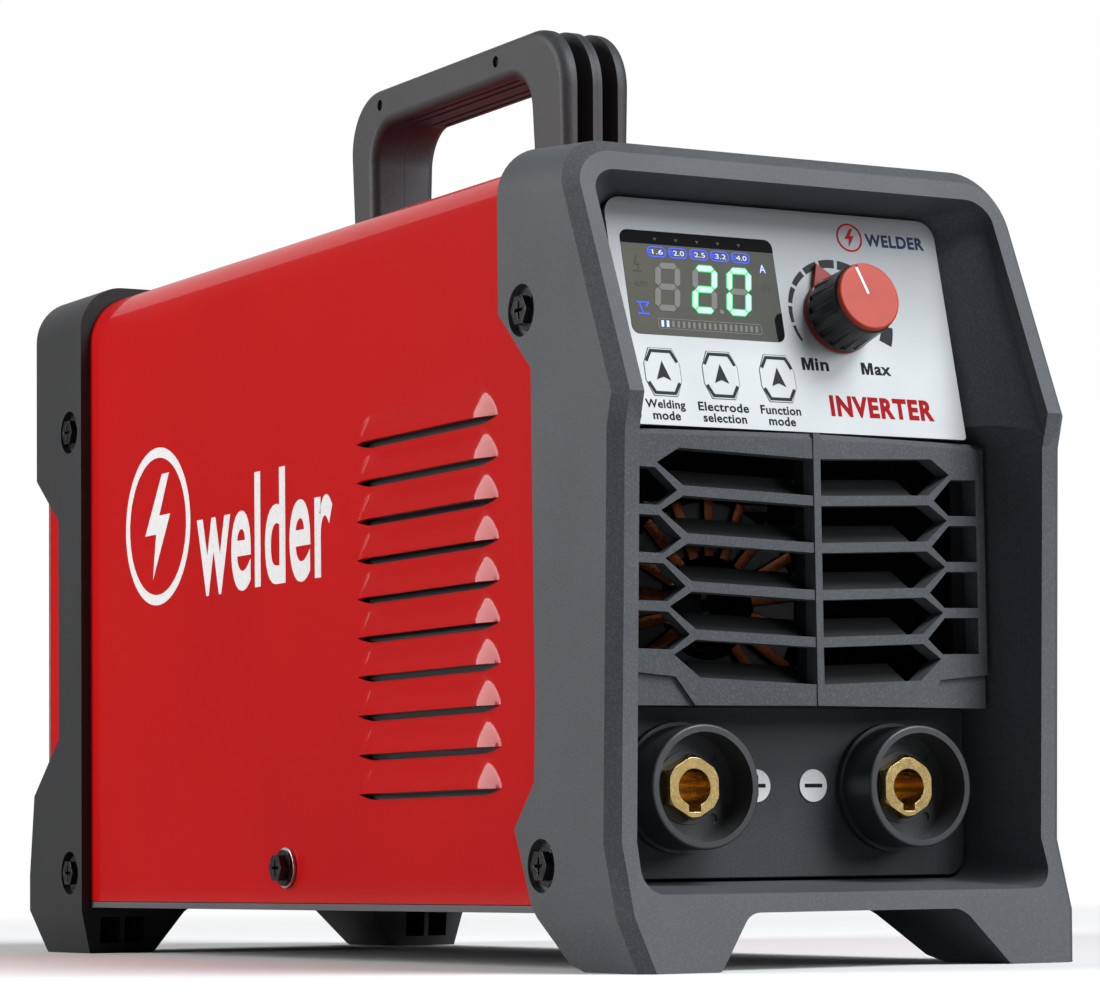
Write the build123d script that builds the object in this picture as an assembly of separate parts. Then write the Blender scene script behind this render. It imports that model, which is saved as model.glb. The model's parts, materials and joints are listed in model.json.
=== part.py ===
from build123d import *
import math
import os

os.makedirs("parts", exist_ok=True)

# Lengths are in millimetres. While it is built, y runs from 0 at the lower rim of the
# front frame to the rear. Every node is moved by mid_y on its way out, so that the
# origin lies under the middle of the whole inverter.

# Overall body
frame_half = 66.5
frame_top = 206.0
cover_half = 63.5
cover_top = 203.0
cover_bottom = 16.0
cover_wall = 1.2
cover_corner = 15.0
cover_front = 31.0
cover_rear = 351.4
tray_bottom = 14.0
tray_top = 15.8
foot_tip_y = -9.7
rear_bumper_y = 361.3
mid_y = (foot_tip_y + rear_bumper_y) / 2
fit_gap = 0.1
shell_wall = 2.9

# Front frame, seen from the side as (y, z)
rim_knee = (-6.8, 137.7)
rim_step = (-4.2, 129.0)
rim_low = (0.0, 31.0)
rim_rise = 0.4185
top_slope = 0.094
rim_half_width = 59.3
rim_open_top = 195.3
rim_open_bottom = 19.1
funnel_wall = 2.4
rim_strip = 4.0
frame_bevel = 3.2

# Control panel: a plate leaning back, with its own axes (x, up the plate, outward)
panel_foot = (0, 14.9, 132.5)
panel_lean = 0.23
panel_half = 49.6
panel_height = 59.8
overlay_thick = 0.4
plate_thick = 2.0
window_box = (-45.3, -2.0, 24.0, 50.7)
key_rows = 13.8
key_xs = (-39.1, -22.3, -5.5)
key_travel = 0.4
key_gap = 0.12
knob_at = (15.2, 31.5)
knob_rest_turn = 20.0
knob_base_r = 9.9
knob_front_r = 9.1
knob_height = 14.0
knob_skirt_r = 10.0
knob_ribs = 18
board_depth = 14.0

# Grille, bent forward along its middle
grille_nose_y = 9.5
grille_slope = 6.3
grille_half = 55.4
grille_rows = 5
grille_top_z = 126.5
grille_pitch = 11.7
grille_rise = 1.7
grille_depth = 5.0
grille_bar = 2.5
grille_web = 1.1
grille_top = 131.6
grille_bottom = 64.0

# Output sockets for 9 mm pins
socket_x = 31.7
socket_z = 44.2
socket_front_y = 12.7
socket_floor_y = 22.0
socket_outer_r = 15.3
socket_inner_r = 13.4
contact_front_y = 18.1
contact_bore_r = 4.55
contact_thread_r = 6.0
connector_y = 26.8
connector_thick = 3.0

# Handle loop, seen from the side
handle_half = 11.0
handle_base_half = 9.8
handle_round = 2.8
handle_front = 115.0
handle_rear = 244.0
handle_top = 255.7
handle_gap_front = 134.5
handle_gap_rear = 229.0
handle_gap_top = 244.5
handle_corner = 18.0
fin_mid_half = 1.5
fin_side_inner = 6.4
groove_depth = 7.6

# Rear
rear_lip_y = 319.5
rear_edge_y = 355.4
rear_notch_y = 337.6
rear_plate_y = 351.6
rear_plate_thick = 1.5
rear_face_y = rear_plate_y + rear_plate_thick
fan_z = 126.0
fan_half = 46.0
fan_front_y = 324.0
fan_blades = 7
gland_x = -32.0
gland_z = 46.0
switch_x = 32.0
switch_z = 46.0
earth_z = 40.0

# Side screws as (y, z)
front_screws = ((40.0, 162.5), (33.3, 25.5))
rear_screws = ((329.0, 161.0), (329.0, 24.6))
cover_screw = (181.0, 25.6)
screw_r = 1.9
screw_hole_r = 2.1
screw_recess_r = 6.6
screw_seat = 64.3


def block(x0, x1, y0, y1, z0, z1):
    size = (x1 - x0, y1 - y0, z1 - z0)
    middle = ((x0 + x1) / 2, (y0 + y1) / 2, (z0 + z1) / 2)
    return Pos(*middle) * Box(*size)


def prism_x(points, x0, x1):
    return prism_yz(Polygon(*points, align=None), x0, x1)


def prism_y(outline, y0, y1):
    return Pos(0, y0, 0) * extrude(Plane.XZ * outline, amount=y1 - y0, dir=(0, 1, 0))


def prism_yz(face, x0, x1):
    low, high = sorted((x0, x1))
    return Pos(low, 0, 0) * extrude(Plane.YZ * face, amount=high - low, dir=(1, 0, 0))


def rod_y(x, z, radius, y0, y1):
    return Pos(x, (y0 + y1) / 2, z) * Rot(90, 0, 0) * Cylinder(radius, y1 - y0)


def rod_x(y, z, radius, x0, x1):
    return Pos((x0 + x1) / 2, y, z) * Rot(0, 90, 0) * Cylinder(radius, abs(x1 - x0))


def rod_z(x, y, radius, z0, z1):
    return Pos(x, y, (z0 + z1) / 2) * Cylinder(radius, z1 - z0)


def hex_rod_x(y, z, across_flats, x0, x1):
    outline = RegularPolygon(across_flats / 2, 6, major_radius=False)
    return Pos(min(x0, x1), y, z) * extrude(Plane.YZ * outline, amount=abs(x1 - x0), dir=(1, 0, 0))


def rounded(points, corners):
    """A polygon with the named corners rounded: corners maps an index to a radius."""
    face = Polygon(*points, align=None)
    for index, radius in corners.items():
        spot = Vector(*points[index])
        vertex = min(face.vertices(), key=lambda v: (v.center() - spot).length)
        face = fillet(vertex, radius)
    return face


def both_sides(solid):
    return [solid, solid.mirror(Plane.YZ)]


def save(name, shape):
    moved = Pos(0, -mid_y, 0) * shape
    export_step(moved, "parts/" + name + ".step")


def group(shapes):
    return Compound(children=list(shapes))


panel_plane = Plane(origin=panel_foot, x_dir=(1, 0, 0), z_dir=(0, -1, panel_lean))


def on_panel(shape):
    return panel_plane.location * shape


def cover_outline(half, top, bottom, corner):
    points = ((-half, bottom), (half, bottom), (half, top), (-half, top))
    return rounded(points, {2: corner, 3: corner})


def foot_outline():
    """The frames from the front: rounded top, two feet, and an arch between them."""
    side_z = 13.0
    foot_half = 63.2
    arch_low = 42.0
    arch_high = 31.0
    arch_top = 13.8
    points = (
        (frame_half, side_z), (frame_half, frame_top), (-frame_half, frame_top), (-frame_half, side_z),
        (-foot_half, 0), (-arch_low, 0), (-arch_high, arch_top),
        (arch_high, arch_top), (arch_low, 0), (foot_half, 0),
    )
    return rounded(points, {1: 14, 2: 14, 5: 2, 6: 6, 7: 6, 8: 2})


rim_line = [(foot_tip_y, 0), rim_low, rim_step, rim_knee, (rim_knee[0] + rim_rise * 90, rim_knee[1] + 90)]
front_rear_y = 51.7


def front_profile():
    """The front frame from the side. Its rear edge follows a wide K."""
    return rim_line + [
        (front_rear_y, rim_knee[1] + 90), (front_rear_y, 162.8), (35.5, 147.6), (35.3, 65.9), (36.2, 45.8),
        (46.5, 34.6), (38.3, 15.7), (24.6, 1.8), (18.2, 0),
    ]


def inside_profile():
    """The space behind the front wall, seen from the side."""
    return [(y + shell_wall, z) for y, z in rim_line] + [(80, rim_knee[1] + 90), (80, 0)]


def front_body():
    """The outer form: a straight lower part and an upper part whose top rises to the rear."""
    split_z = 100.0
    start_y = -20.0
    drop = (front_rear_y - start_y) * top_slope
    face = Pos(0, start_y, -drop) * (Plane.XZ * foot_outline())
    upper = extrude(face, amount=80 * math.hypot(1, top_slope), dir=(0, 1, top_slope))
    upper &= block(-100, 100, start_y - 5, 80, split_z, 240)
    lower = prism_y(foot_outline(), start_y, 60) & block(-100, 100, start_y - 5, 80, -5, split_z)
    body = prism_x(front_profile(), -frame_half - 5, frame_half + 5) & (upper + lower)
    return chamfer([e for e in body.edges() if is_rim_edge(e)], frame_bevel)


def is_rim_edge(edge):
    """True for the outer front edges, which are the ones that get the wide bevel."""
    points = [edge.position_at(t) for t in (0, 0.5, 1)]
    on_front = all(abs(point.Y - rim_y(point.Z)) < 0.05 for point in points)
    middle = edge.center()
    return on_front and (abs(middle.X) > 62 or middle.Z > 198)


def rim_y(z):
    for (y0, z0), (y1, z1) in zip(rim_line, rim_line[1:]):
        if z <= z1 + 1e-6:
            return y0 + (y1 - y0) * (z - z0) / (z1 - z0)
    return rim_line[-1][0]


def loft_between(plane_a, box_a, plane_b, box_b, radius):
    faces = []
    for plane, (x_half, low, high) in ((plane_a, box_a), (plane_b, box_b)):
        sketch = Pos(0, (low + high) / 2) * RectangleRounded(2 * x_half, high - low, radius)
        faces.append(plane * sketch)
    return loft(faces)


def funnel(grow):
    """The recess behind the rim: an upper and a lower tapering well, grown by grow."""
    upper_plane = Plane(origin=(0, *rim_knee), x_dir=(1, 0, 0), z_dir=(0, -1, rim_rise)).offset(0.5)
    up_len = (rim_open_top - rim_knee[1]) * math.hypot(1, rim_rise)
    rim_box = (rim_half_width + grow, -16 - grow, up_len + grow)
    upper = loft_between(
        upper_plane.offset(-rim_strip), rim_box,
        panel_plane.offset(-3), (panel_half + 0.5 + grow, -1.2 - grow, panel_height + 1.0 + grow), 7,
    )
    upper += loft_between(upper_plane, rim_box, upper_plane.offset(-rim_strip), rim_box, 7)
    lower_rise = (rim_low[0] - rim_step[0]) / (rim_low[1] - rim_step[1])
    lower_plane = Plane(origin=(0, *rim_low), x_dir=(1, 0, 0), z_dir=(0, -1, lower_rise)).offset(11)
    lower_low = rim_open_bottom - rim_low[1]
    lower = loft_between(
        lower_plane, (rim_half_width + 1.2 + grow, lower_low - 0.8 - grow, 106 + grow),
        Plane(origin=(0, connector_y + 4, 0), x_dir=(1, 0, 0), z_dir=(0, -1, 0)),
        (55.2 + grow, 21.3 - grow, 136 + grow), 6,
    )
    return upper, lower


def make_front_frame():
    body = front_body()
    hollow = prism_x(inside_profile(), -100, 100)
    hollow &= prism_y(cover_outline(cover_half + fit_gap, cover_top + fit_gap, 13.8, cover_corner), -20, 80)
    foot_hollow = prism_x(inside_profile(), 0, 100) & block(45.5, 60.0, -20, 80, 3.0, 14.0)
    shell = body - hollow
    for side in both_sides(foot_hollow):
        shell -= side
    upper, lower = funnel(funnel_wall)
    walls = (upper + lower) & body & block(-100, 100, -20, 31, 18, 205)
    frame = shell + walls
    upper, lower = funnel(0)
    frame = frame - upper - lower
    for y, z in front_screws:
        for sign in (-1, 1):
            frame -= rod_x(y, z, screw_recess_r, sign * screw_seat, sign * 70)
            frame -= rod_x(y, z, screw_hole_r, sign * 50, sign * 70)
    return frame


def make_rear_frame():
    profile = (
        (rear_lip_y, 13), (rear_lip_y + 1.5, 0), (354.5, 0), (rear_bumper_y, 13), (rear_bumper_y, 24),
        (357.6, 48.7), (rear_notch_y, 66), (rear_notch_y, 134), (rear_edge_y, 148), (rear_edge_y, 204),
        (353.5, frame_top), (rear_lip_y, frame_top),
    )
    body = prism_x(profile, -frame_half - 5, frame_half + 5) & prism_y(foot_outline(), 300, 380)
    inner = cover_outline(cover_half + fit_gap, cover_top + fit_gap, 13.8, cover_corner)
    frame = body - prism_y(inner, 300, rear_face_y + 0.2)
    window = cover_outline(cover_half - 6, cover_top - 6, 24, cover_corner - 5)
    frame -= prism_y(window, 340, 380)
    foot_hollow = block(45.5, 60.0, rear_lip_y - 1, 354.0, 3.0, 11.0)
    rib = block(52.0, 53.6, rear_lip_y - 2, 356.0, 2.0, 12.0)
    for side in both_sides(foot_hollow - rib):
        frame -= side
    for y, z in rear_screws:
        for sign in (-1, 1):
            frame -= rod_x(y, z, screw_recess_r, sign * screw_seat, sign * 70)
            frame -= rod_x(y, z, screw_hole_r, sign * 50, sign * 70)
    return frame


louvre_count = 10
louvre_top_z = 138.5
louvre_pitch = 10.4
louvre_y0 = 58.0
louvre_y1 = 137.0
louvre_high = 8.0
louvre_out = 2.5
louvre_end = 7.0


def louvre_wedge(shrink):
    """One louvre blister with its lip at z = 0. Shrink makes the hollow inside it."""
    y0, y1 = louvre_y0 + shrink, louvre_y1 - shrink
    out, high = louvre_out - shrink, louvre_high - 1.2 * shrink
    low = -2.0 * shrink
    back = -3.0 if shrink else -0.4
    lip_points = (
        (back, y0), (0, y0), (out, y0 + louvre_end), (out, y1 - louvre_end), (0, y1), (back, y1),
    )
    body = extrude(Pos(0, 0, low) * Polygon(*lip_points, align=None), amount=high - low)
    slope_points = (
        (back - 1, low - 1), (out + 0.01, low - 1), (out + 0.01, 0), (0, high), (back - 1, high),
    )
    return body & prism_y(Polygon(*slope_points, align=None), y0 - 1, y1 + 1)


def make_cover():
    outer_outline = cover_outline(cover_half, cover_top, cover_bottom, cover_corner)
    outer = prism_y(outer_outline, cover_front, cover_rear)
    inner_outline = cover_outline(
        cover_half - cover_wall, cover_top - cover_wall, cover_bottom - 5, cover_corner - cover_wall,
    )
    cover = outer - prism_y(inner_outline, cover_front - 1, cover_rear + 1)
    blister = louvre_wedge(0)
    hollow = louvre_wedge(1.0)
    for index in range(louvre_count):
        spot = Pos(cover_half, 0, louvre_top_z - index * louvre_pitch)
        for solid in both_sides(spot * blister):
            cover += solid
        for solid in both_sides(spot * hollow):
            cover -= solid
    for y, z in front_screws + rear_screws + (cover_screw,):
        cover -= rod_x(y, z, screw_hole_r, -70, 70)
    for y in handle_bolt_ys:
        cover -= rod_z(0, y, 2.7, 190, 210)
    return cover


handle_bolt_ys = (handle_front + 10, handle_rear - 8)


def make_base_tray():
    half = cover_half - fit_gap
    flange_out = cover_half - cover_wall - 0.2
    tray = block(-half, half, cover_front + 3, cover_rear - 1, tray_bottom, tray_top)
    for side in both_sides(block(flange_out - 1.2, flange_out, cover_front + 3, cover_rear - 1, 15, 36)):
        tray += side
    for y in range(80, 300, 24):
        tray -= block(-20, 20, y, y + 8, 10, 20)
    for y, z in (front_screws[1], rear_screws[1], cover_screw):
        tray -= rod_x(y, z, screw_hole_r, -70, 70)
    for x, y in standoff_spots:
        tray -= rod_z(x, y, 1.6, 10, 20)
    return tray


standoff_spots = [(x, y) for x in (-49, 49) for y in (66, 172, 282)]
board_low = 26.0
board_thick = 1.6


def hex_screw(y, z, side, seat=screw_seat):
    """A black flanged hexagon screw with a cross recess, seated on the side."""
    flange = rod_x(y, z, 5.0, side * seat, side * (seat + 0.8))
    head = hex_rod_x(y, z, 7.0, side * (seat + 0.8), side * (seat + 3.0))
    shank = rod_x(y, z, screw_r, side * (seat - 9), side * seat)
    screw = flange + head + shank
    x0, x1 = sorted((side * (seat + 1.6), side * (seat + 4)))
    screw -= block(x0, x1, y - 2.2, y + 2.2, z - 0.4, z + 0.4)
    screw -= block(x0, x1, y - 0.4, y + 0.4, z - 2.2, z + 2.2)
    return screw


def key_outline(grow):
    half = 5.1 + grow
    high = 6.2 + grow
    points = (
        (half, -2.2), (half, 2.2), (3.3 + grow, high), (-3.3 - grow, high),
        (-half, 2.2), (-half, -2.2), (-3.3 - grow, -high), (3.3 + grow, -high),
    )
    return Polygon(*points, align=None)


def panel_outline(shrink):
    x = panel_half - shrink
    points = ((-x, shrink), (x, shrink), (x, panel_height - shrink), (-x, panel_height - shrink))
    return rounded(points, {0: 1.0, 1: 1.0, 2: 5.0, 3: 5.0})


def window_outline(grow):
    x0, x1, up0, up1 = window_box
    x0, x1, up0, up1 = x0 - grow, x1 + grow, up0 - grow, up1 + grow
    points = ((x0, up0), (x1, up0), (x1, up1), (x0, up1))
    return rounded(points, {0: 2.4, 1: 2.4, 2: 2.4, 3: 2.4})


def panel_sheet(shrink, out0, out1):
    sheet = extrude(Pos(0, 0, out0) * panel_outline(shrink), amount=out1 - out0)
    for x in key_xs:
        sheet -= extrude(Pos(x, key_rows, out0 - 1) * key_outline(key_gap), amount=out1 - out0 + 2)
    sheet -= Pos(*knob_at, 0) * Cylinder(3.7, 20)
    return sheet


def make_control_panel():
    plate = panel_sheet(0.2, -overlay_thick - plate_thick, -overlay_thick)
    plate -= extrude(Pos(0, 0, -5) * window_outline(0.15), amount=10)
    for x, up in panel_screw_spots:
        plate -= Pos(x, up, 0) * Cylinder(1.7, 20)
    return on_panel(plate)


panel_screw_spots = ((-46.5, 19.5), (-46.5, 56.0), (44.0, 10.0), (44.0, 50.0))


def make_overlay():
    foil = panel_sheet(0.0, -overlay_thick, 0)
    foil -= extrude(Pos(0, 0, -5) * window_outline(-1.0), amount=10)
    return on_panel(foil)


def make_display_window():
    lens = extrude(Pos(0, 0, -overlay_thick - 1.8) * window_outline(0), amount=1.7)
    return on_panel(lens)


def make_display_module():
    x0, x1, up0, up1 = window_box
    glass = block(x0 + 1, x1 - 1, up0 + 1, up1 - 1, -8.5, -2.6)
    legs = [block(x, x + 1, up0 + 2, up1 - 2, -board_depth + 1.6, -8.5) for x in (x0 + 2, x1 - 3)]
    return on_panel(glass + legs)


def make_control_board():
    board = block(-47.0, 44.0, 9.6, 56.0, -board_depth, -board_depth + 1.6)
    for x, up in ((-44, 21), (41, 14), (-44, 53), (41, 53)):
        board -= Pos(x, up, -board_depth) * Cylinder(1.6, 10)
    parts = [block(-30, -18, 34, 46, -board_depth - 1.6, -board_depth)]
    parts.append(block(5, 12, 42, 52, -board_depth - 6, -board_depth))
    return on_panel(board + parts)


def make_tact_switches():
    shapes = []
    top = -overlay_thick - plate_thick - key_travel - 0.35
    for x in key_xs:
        body = block(x - 3, x + 3, key_rows - 3, key_rows + 3, -board_depth + 1.6, top - 1.5)
        button = Pos(x, key_rows, top - 0.75) * Cylinder(1.7, 1.5)
        shapes.append(on_panel(body + button))
    return group(shapes)


def make_key(x):
    bottom = -overlay_thick - plate_thick
    key = extrude(Pos(x, key_rows, bottom) * key_outline(0), amount=0.12 - bottom)
    return on_panel(key)


def make_potentiometer():
    depth = -overlay_thick - plate_thick
    body = Cylinder(8.2, 7.5)
    body = Pos(0, 0, depth - 0.2 - 3.75) * body
    bushing = Pos(0, 0, (depth - 0.2 + 0.6) / 2) * Cylinder(3.5, 0.6 - depth + 0.2)
    legs = block(-6, 6, -12, -7, depth - 6.5, depth - 5.5)
    shaft_hole = Pos(0, 0, depth) * Cylinder(3.05, 12)
    return on_panel(Pos(*knob_at, 0) * (body + bushing + legs - shaft_hole))


def knob_turned(shape):
    return on_panel(Pos(*knob_at, 0) * Rot(0, 0, knob_rest_turn) * shape)


def make_knob_shaft():
    shaft = Pos(0, 0, 2.0) * Cylinder(3.0, 16)
    flat = block(-4, 4, 2.4, 4, 2, 12)
    return knob_turned(shaft - flat)


def make_knob_body():
    low = 1.7
    profile = (
        (0, low), (knob_base_r, low), (knob_front_r + 0.1, knob_height - 0.6),
        (knob_front_r - 0.4, knob_height), (0, knob_height),
    )
    body = revolve(Plane.XZ * Polygon(*profile, align=None), Axis.Z)
    groove = Pos(knob_base_r + 0.35, 0, (low + knob_height) / 2 + 1.5) * Cylinder(1.0, knob_height)
    for index in range(knob_ribs):
        body -= Rot(0, 0, 360 / knob_ribs * index) * groove
    bore = Pos(0, 0, 6) * Cylinder(3.03, 12.0)
    flat = block(-4, 4, 2.43, 4, 2.0, 11.9)
    body -= bore - flat
    body -= Pos(0, 0, knob_height - 0.8) * Cylinder(8.0, 1.7)
    return knob_turned(body)


def make_knob_cap():
    cap = Pos(0, 0, knob_height - 1.6) * extrude(Circle(7.9), amount=1.7)
    rim = Pos(0, 0, knob_height + 0.05) * extrude(Circle(8.9), amount=1.4)
    rim = fillet(rim.edges().group_by(Axis.Z)[-1], 0.7)
    cap = cap + rim
    cap -= block(-0.45, 0.45, 0.5, 8.6, knob_height + 1.2, knob_height + 3)
    return knob_turned(cap)


def make_knob_line():
    return knob_turned(block(-0.4, 0.4, 0.6, 8.0, knob_height + 1.22, knob_height + 1.42))


def make_knob_skirt():
    disc = Pos(0, 0, 0.35) * extrude(Circle(knob_skirt_r), amount=1.3)
    arrow = Polygon((-4.4, 8.4), (4.4, 8.4), (0, 14.6), align=None)
    pointer = Pos(0, 0, 0.35) * extrude(arrow, amount=1.3)
    return knob_turned(disc + pointer - Pos(0, 0, 1) * Cylinder(3.9, 4))


def grille_level(index, u):
    """Height of a bar's centre line at a distance u from the middle post."""
    return grille_top_z - index * grille_pitch + grille_rise * u / 37.0


def grille_corner(index):
    """Distance from the post to the outer end of a bar."""
    return 37.6 - 0.95 * index


def grille_tip(index):
    """Distance from the post to the outer tip of a hexagonal opening."""
    return 43.7 - 0.97 * index


def tip_level(index):
    tip = grille_tip(index)
    return (grille_level(index, tip) + grille_level(index + 1, tip)) / 2 + 0.6


def hexagon_row(index):
    """One half of a long hexagonal opening, right of the middle post."""
    top_u = grille_corner(index)
    low_u = grille_corner(index + 1)
    half_bar = grille_bar / 2
    points = (
        (1.0, grille_level(index, 0) - half_bar), (top_u, grille_level(index, top_u) - half_bar),
        (grille_tip(index), tip_level(index)),
        (low_u, grille_level(index + 1, low_u) + half_bar), (1.0, grille_level(index + 1, 0) + half_bar),
    )
    return Polygon(*points, align=None)


def side_pocket(index):
    """A half hexagon between two tips, open towards the side."""
    inner_u = grille_corner(index + 1)
    web = grille_web * 1.5
    half_bar = grille_bar / 2
    points = (
        (inner_u + web, grille_level(index + 1, inner_u)),
        (grille_tip(index) + 0.5, tip_level(index) - half_bar),
        (grille_pocket_end, tip_level(index) - half_bar + 0.3),
        (grille_pocket_end, tip_level(index + 1) + half_bar + 0.3),
        (grille_tip(index + 1) + 0.5, tip_level(index + 1) + half_bar),
    )
    return Polygon(*points, align=None)


grille_pocket_end = 52.6


def half_grille():
    """The right half, flat: u along x from the post, depth along y."""
    outline = (
        (-0.5, grille_bottom), (grille_half, grille_bottom), (grille_half, grille_top), (-0.5, grille_top),
    )
    sheet = prism_y(Polygon(*outline, align=None), 0, grille_depth)
    top_slope = ((-1, grille_top - 2.4), (-1, grille_top + 1), (2, grille_top + 1), (1.4, grille_top))
    sheet -= prism_x(top_slope, -2, grille_half + 1)
    low_corner = (
        (33.5, grille_bottom - 1), (39.5, grille_bottom + 7),
        (56, grille_bottom + 8.6), (56, grille_bottom - 1),
    )
    sheet -= prism_y(Polygon(*low_corner, align=None), -1, 1.0)
    for index in range(grille_rows):
        sheet -= prism_y(hexagon_row(index), -1, grille_depth + 1)
    for index in range(grille_rows - 1):
        sheet -= prism_y(side_pocket(index), -1, grille_depth + 1)
    tilt = math.degrees(math.atan(grille_rise / 37.0))
    front, back = grille_depth - 0.6, grille_depth + 6.5
    blade = ((front, -1.0), (back, 4.8), (back, 6.2), (front, 1.1))
    for index in range(1, grille_rows + 1):
        solid = Rot(0, -tilt, 0) * prism_x(blade, 0.2, 36.5 - 0.95 * index)
        sheet += Pos(0, 0, grille_level(index, 0)) * solid
    return sheet


def make_grille():
    right = Pos(0, grille_nose_y, 0) * Rot(0, 0, grille_slope) * half_grille()
    left = right.mirror(Plane.YZ)
    post = block(-1.0, 1.0, grille_nose_y - 0.2, grille_nose_y + 9, grille_bottom, grille_top)
    floor_points = (
        (0, grille_nose_y + 2), (grille_half - 1, grille_nose_y + 8.5),
        (grille_half - 1, connector_y - 0.2), (0, connector_y - 0.2),
    )
    shelf = extrude(Pos(0, 0, grille_bottom) * Polygon(*floor_points, align=None), amount=2.0)
    return right + left + post + shelf + shelf.mirror(Plane.YZ)


def make_connector_panel():
    half = 54.6
    points = ((-half, 21.9), (half, 21.9), (half + 0.3, 66.2), (-half - 0.3, 66.2))
    plate = prism_y(rounded(points, {0: 5, 1: 5}), connector_y, connector_y + connector_thick)
    for sign in (-1, 1):
        plate -= rod_y(sign * socket_x, socket_z, 9.6, 0, 60)
    return plate


def make_socket_body(x):
    body = rod_y(x, socket_z, socket_outer_r, socket_front_y, connector_y)
    body = fillet(body.edges().filter_by(GeomType.CIRCLE).group_by(Axis.Y)[0], 0.6)
    body += rod_y(x, socket_z, 16.2, connector_y - 2, connector_y)
    body += rod_y(x, socket_z, 9.4, connector_y, connector_y + connector_thick + 1)
    body -= rod_y(x, socket_z, socket_inner_r, socket_front_y - 1, socket_floor_y)
    body -= rod_y(x, socket_z, contact_thread_r + 0.1, 0, 60)
    for turn in (45, 135, 225, 315):
        dx = 10.7 * math.cos(math.radians(turn))
        dz = 10.7 * math.sin(math.radians(turn))
        body -= rod_y(x + dx, socket_z + dz, 1.2, socket_floor_y - 1, socket_floor_y + 0.5)
    body += ring_y(x, socket_z, 9.0, 8.3, socket_floor_y - 0.5, socket_floor_y + 0.1)
    return body


def make_socket_contact(x):
    outline = Rot(0, 0, 30) * RegularPolygon(7.0, 6, major_radius=False)
    head = Pos(x, 0, socket_z) * prism_y(outline, contact_front_y, socket_floor_y)
    nose = rod_y(x, socket_z, 8.0, contact_front_y, socket_floor_y)
    head &= chamfer(nose.edges().group_by(Axis.Y)[0], 0.7)
    contact = head + rod_y(x, socket_z, contact_thread_r, socket_floor_y, 47)
    contact -= rod_y(x, socket_z, contact_bore_r, 0, 41)
    contact -= block(x - 1.7, x + 1.7, 10, 30, socket_z - contact_bore_r - 1.5, socket_z)
    return contact


def ring_y(x, z, outer_r, inner_r, y0, y1):
    return rod_y(x, z, outer_r, y0, y1) - rod_y(x, z, inner_r, y0 - 1, y1 + 1)


def nut_y(x, z, across_flats, hole_r, y0, y1):
    outline = RegularPolygon(across_flats / 2, 6, major_radius=False)
    nut = Pos(x, 0, z) * prism_y(outline, y0, y1)
    return nut - rod_y(x, z, hole_r, y0 - 1, y1 + 1)


def make_busbar(x):
    """A copper strap from the contact's rear down to the main board."""
    y0 = connector_y + connector_thick + 1.2
    strap = block(x - 7, x + 7, y0, y0 + 2, 29.5, socket_z + 9)
    strap += block(x - 7, x + 7, y0, 84, 29.5, 31.5)
    return strap - rod_y(x, socket_z, contact_thread_r + 0.1, 0, 80)


def make_polarity_labels():
    return group([rod_y(x, 44.7, 4.1, connector_y - 0.4, connector_y) for x in (-8.45, 8.45)])


def handle_face():
    """The handle loop from the side, with its two legs open below."""
    points = (
        (handle_front, cover_top), (handle_front - 1, handle_top),
        (handle_rear + 1, handle_top), (handle_rear, cover_top),
        (handle_gap_rear + 1, cover_top), (handle_gap_rear, handle_gap_top),
        (handle_gap_front, handle_gap_top), (handle_gap_front - 1.5, cover_top),
    )
    return rounded(points, {1: handle_corner, 2: handle_corner, 5: 11, 6: 11})


def handle_groove_face():
    """The band that is cut away between two fins, all along the outside of the loop."""
    core_front, core_rear = handle_front + groove_depth, handle_rear - groove_depth
    core_points = (
        (core_front, cover_top + 6), (core_front, handle_top - groove_depth),
        (core_rear, handle_top - groove_depth), (core_rear, cover_top + 6),
    )
    core_corner = handle_corner - groove_depth
    core = rounded(core_points, {1: core_corner, 2: core_corner})
    band_points = (
        (handle_front - 9, cover_top + 6), (handle_front - 9, handle_top + 9),
        (handle_rear + 9, handle_top + 9), (handle_rear + 9, cover_top + 6),
    )
    return Polygon(*band_points, align=None) - core


def make_handle_half(side):
    """One half of the handle. Its side leans in towards the foot, and its edges are round."""
    solid = prism_yz(handle_face(), 0, side * handle_half)
    base, top = side * handle_base_half, side * handle_half
    lean_points = ((0, cover_top - 10), (base, cover_top), (top, handle_top), (0, handle_top + 5))
    solid &= prism_y(Polygon(*lean_points, align=None), 90, 270)
    outside = max(solid.faces(), key=lambda face: side * face.center().X)
    solid = fillet([e for e in outside.edges() if e.center().Z > cover_top + 1], handle_round)
    solid -= prism_yz(handle_groove_face(), side * fin_mid_half, side * fin_side_inner)
    for x in (2.4, 6.0):
        low, high = sorted((side * x, side * (x + 1.2)))
        solid -= block(low, high, handle_gap_front + 12, handle_gap_rear - 12, 240, handle_gap_top + 0.8)
    for y, z in handle_screw_spots:
        solid -= rod_x(y, z, 1.6, -20, 20)
    for y in handle_bolt_ys:
        solid -= rod_z(0, y, 2.2, cover_top - 1, cover_top + 16)
    return solid


handle_screw_spots = ((223.8, 250.6), (152.4, 250.6))


def make_handle_screws():
    shapes = []
    for y, z in handle_screw_spots:
        shapes.append(rod_x(y, z, 1.5, -handle_half + 1.0, handle_half - 1.0))
    return group(shapes)


def make_handle_bracket():
    z1 = cover_top - cover_wall - 0.1
    bar = block(-14, 14, handle_front - 6, handle_rear + 6, z1 - 2, z1)
    for y in handle_bolt_ys:
        bar -= rod_z(0, y, 2.7, z1 - 5, z1 + 5)
    return bar


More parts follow.
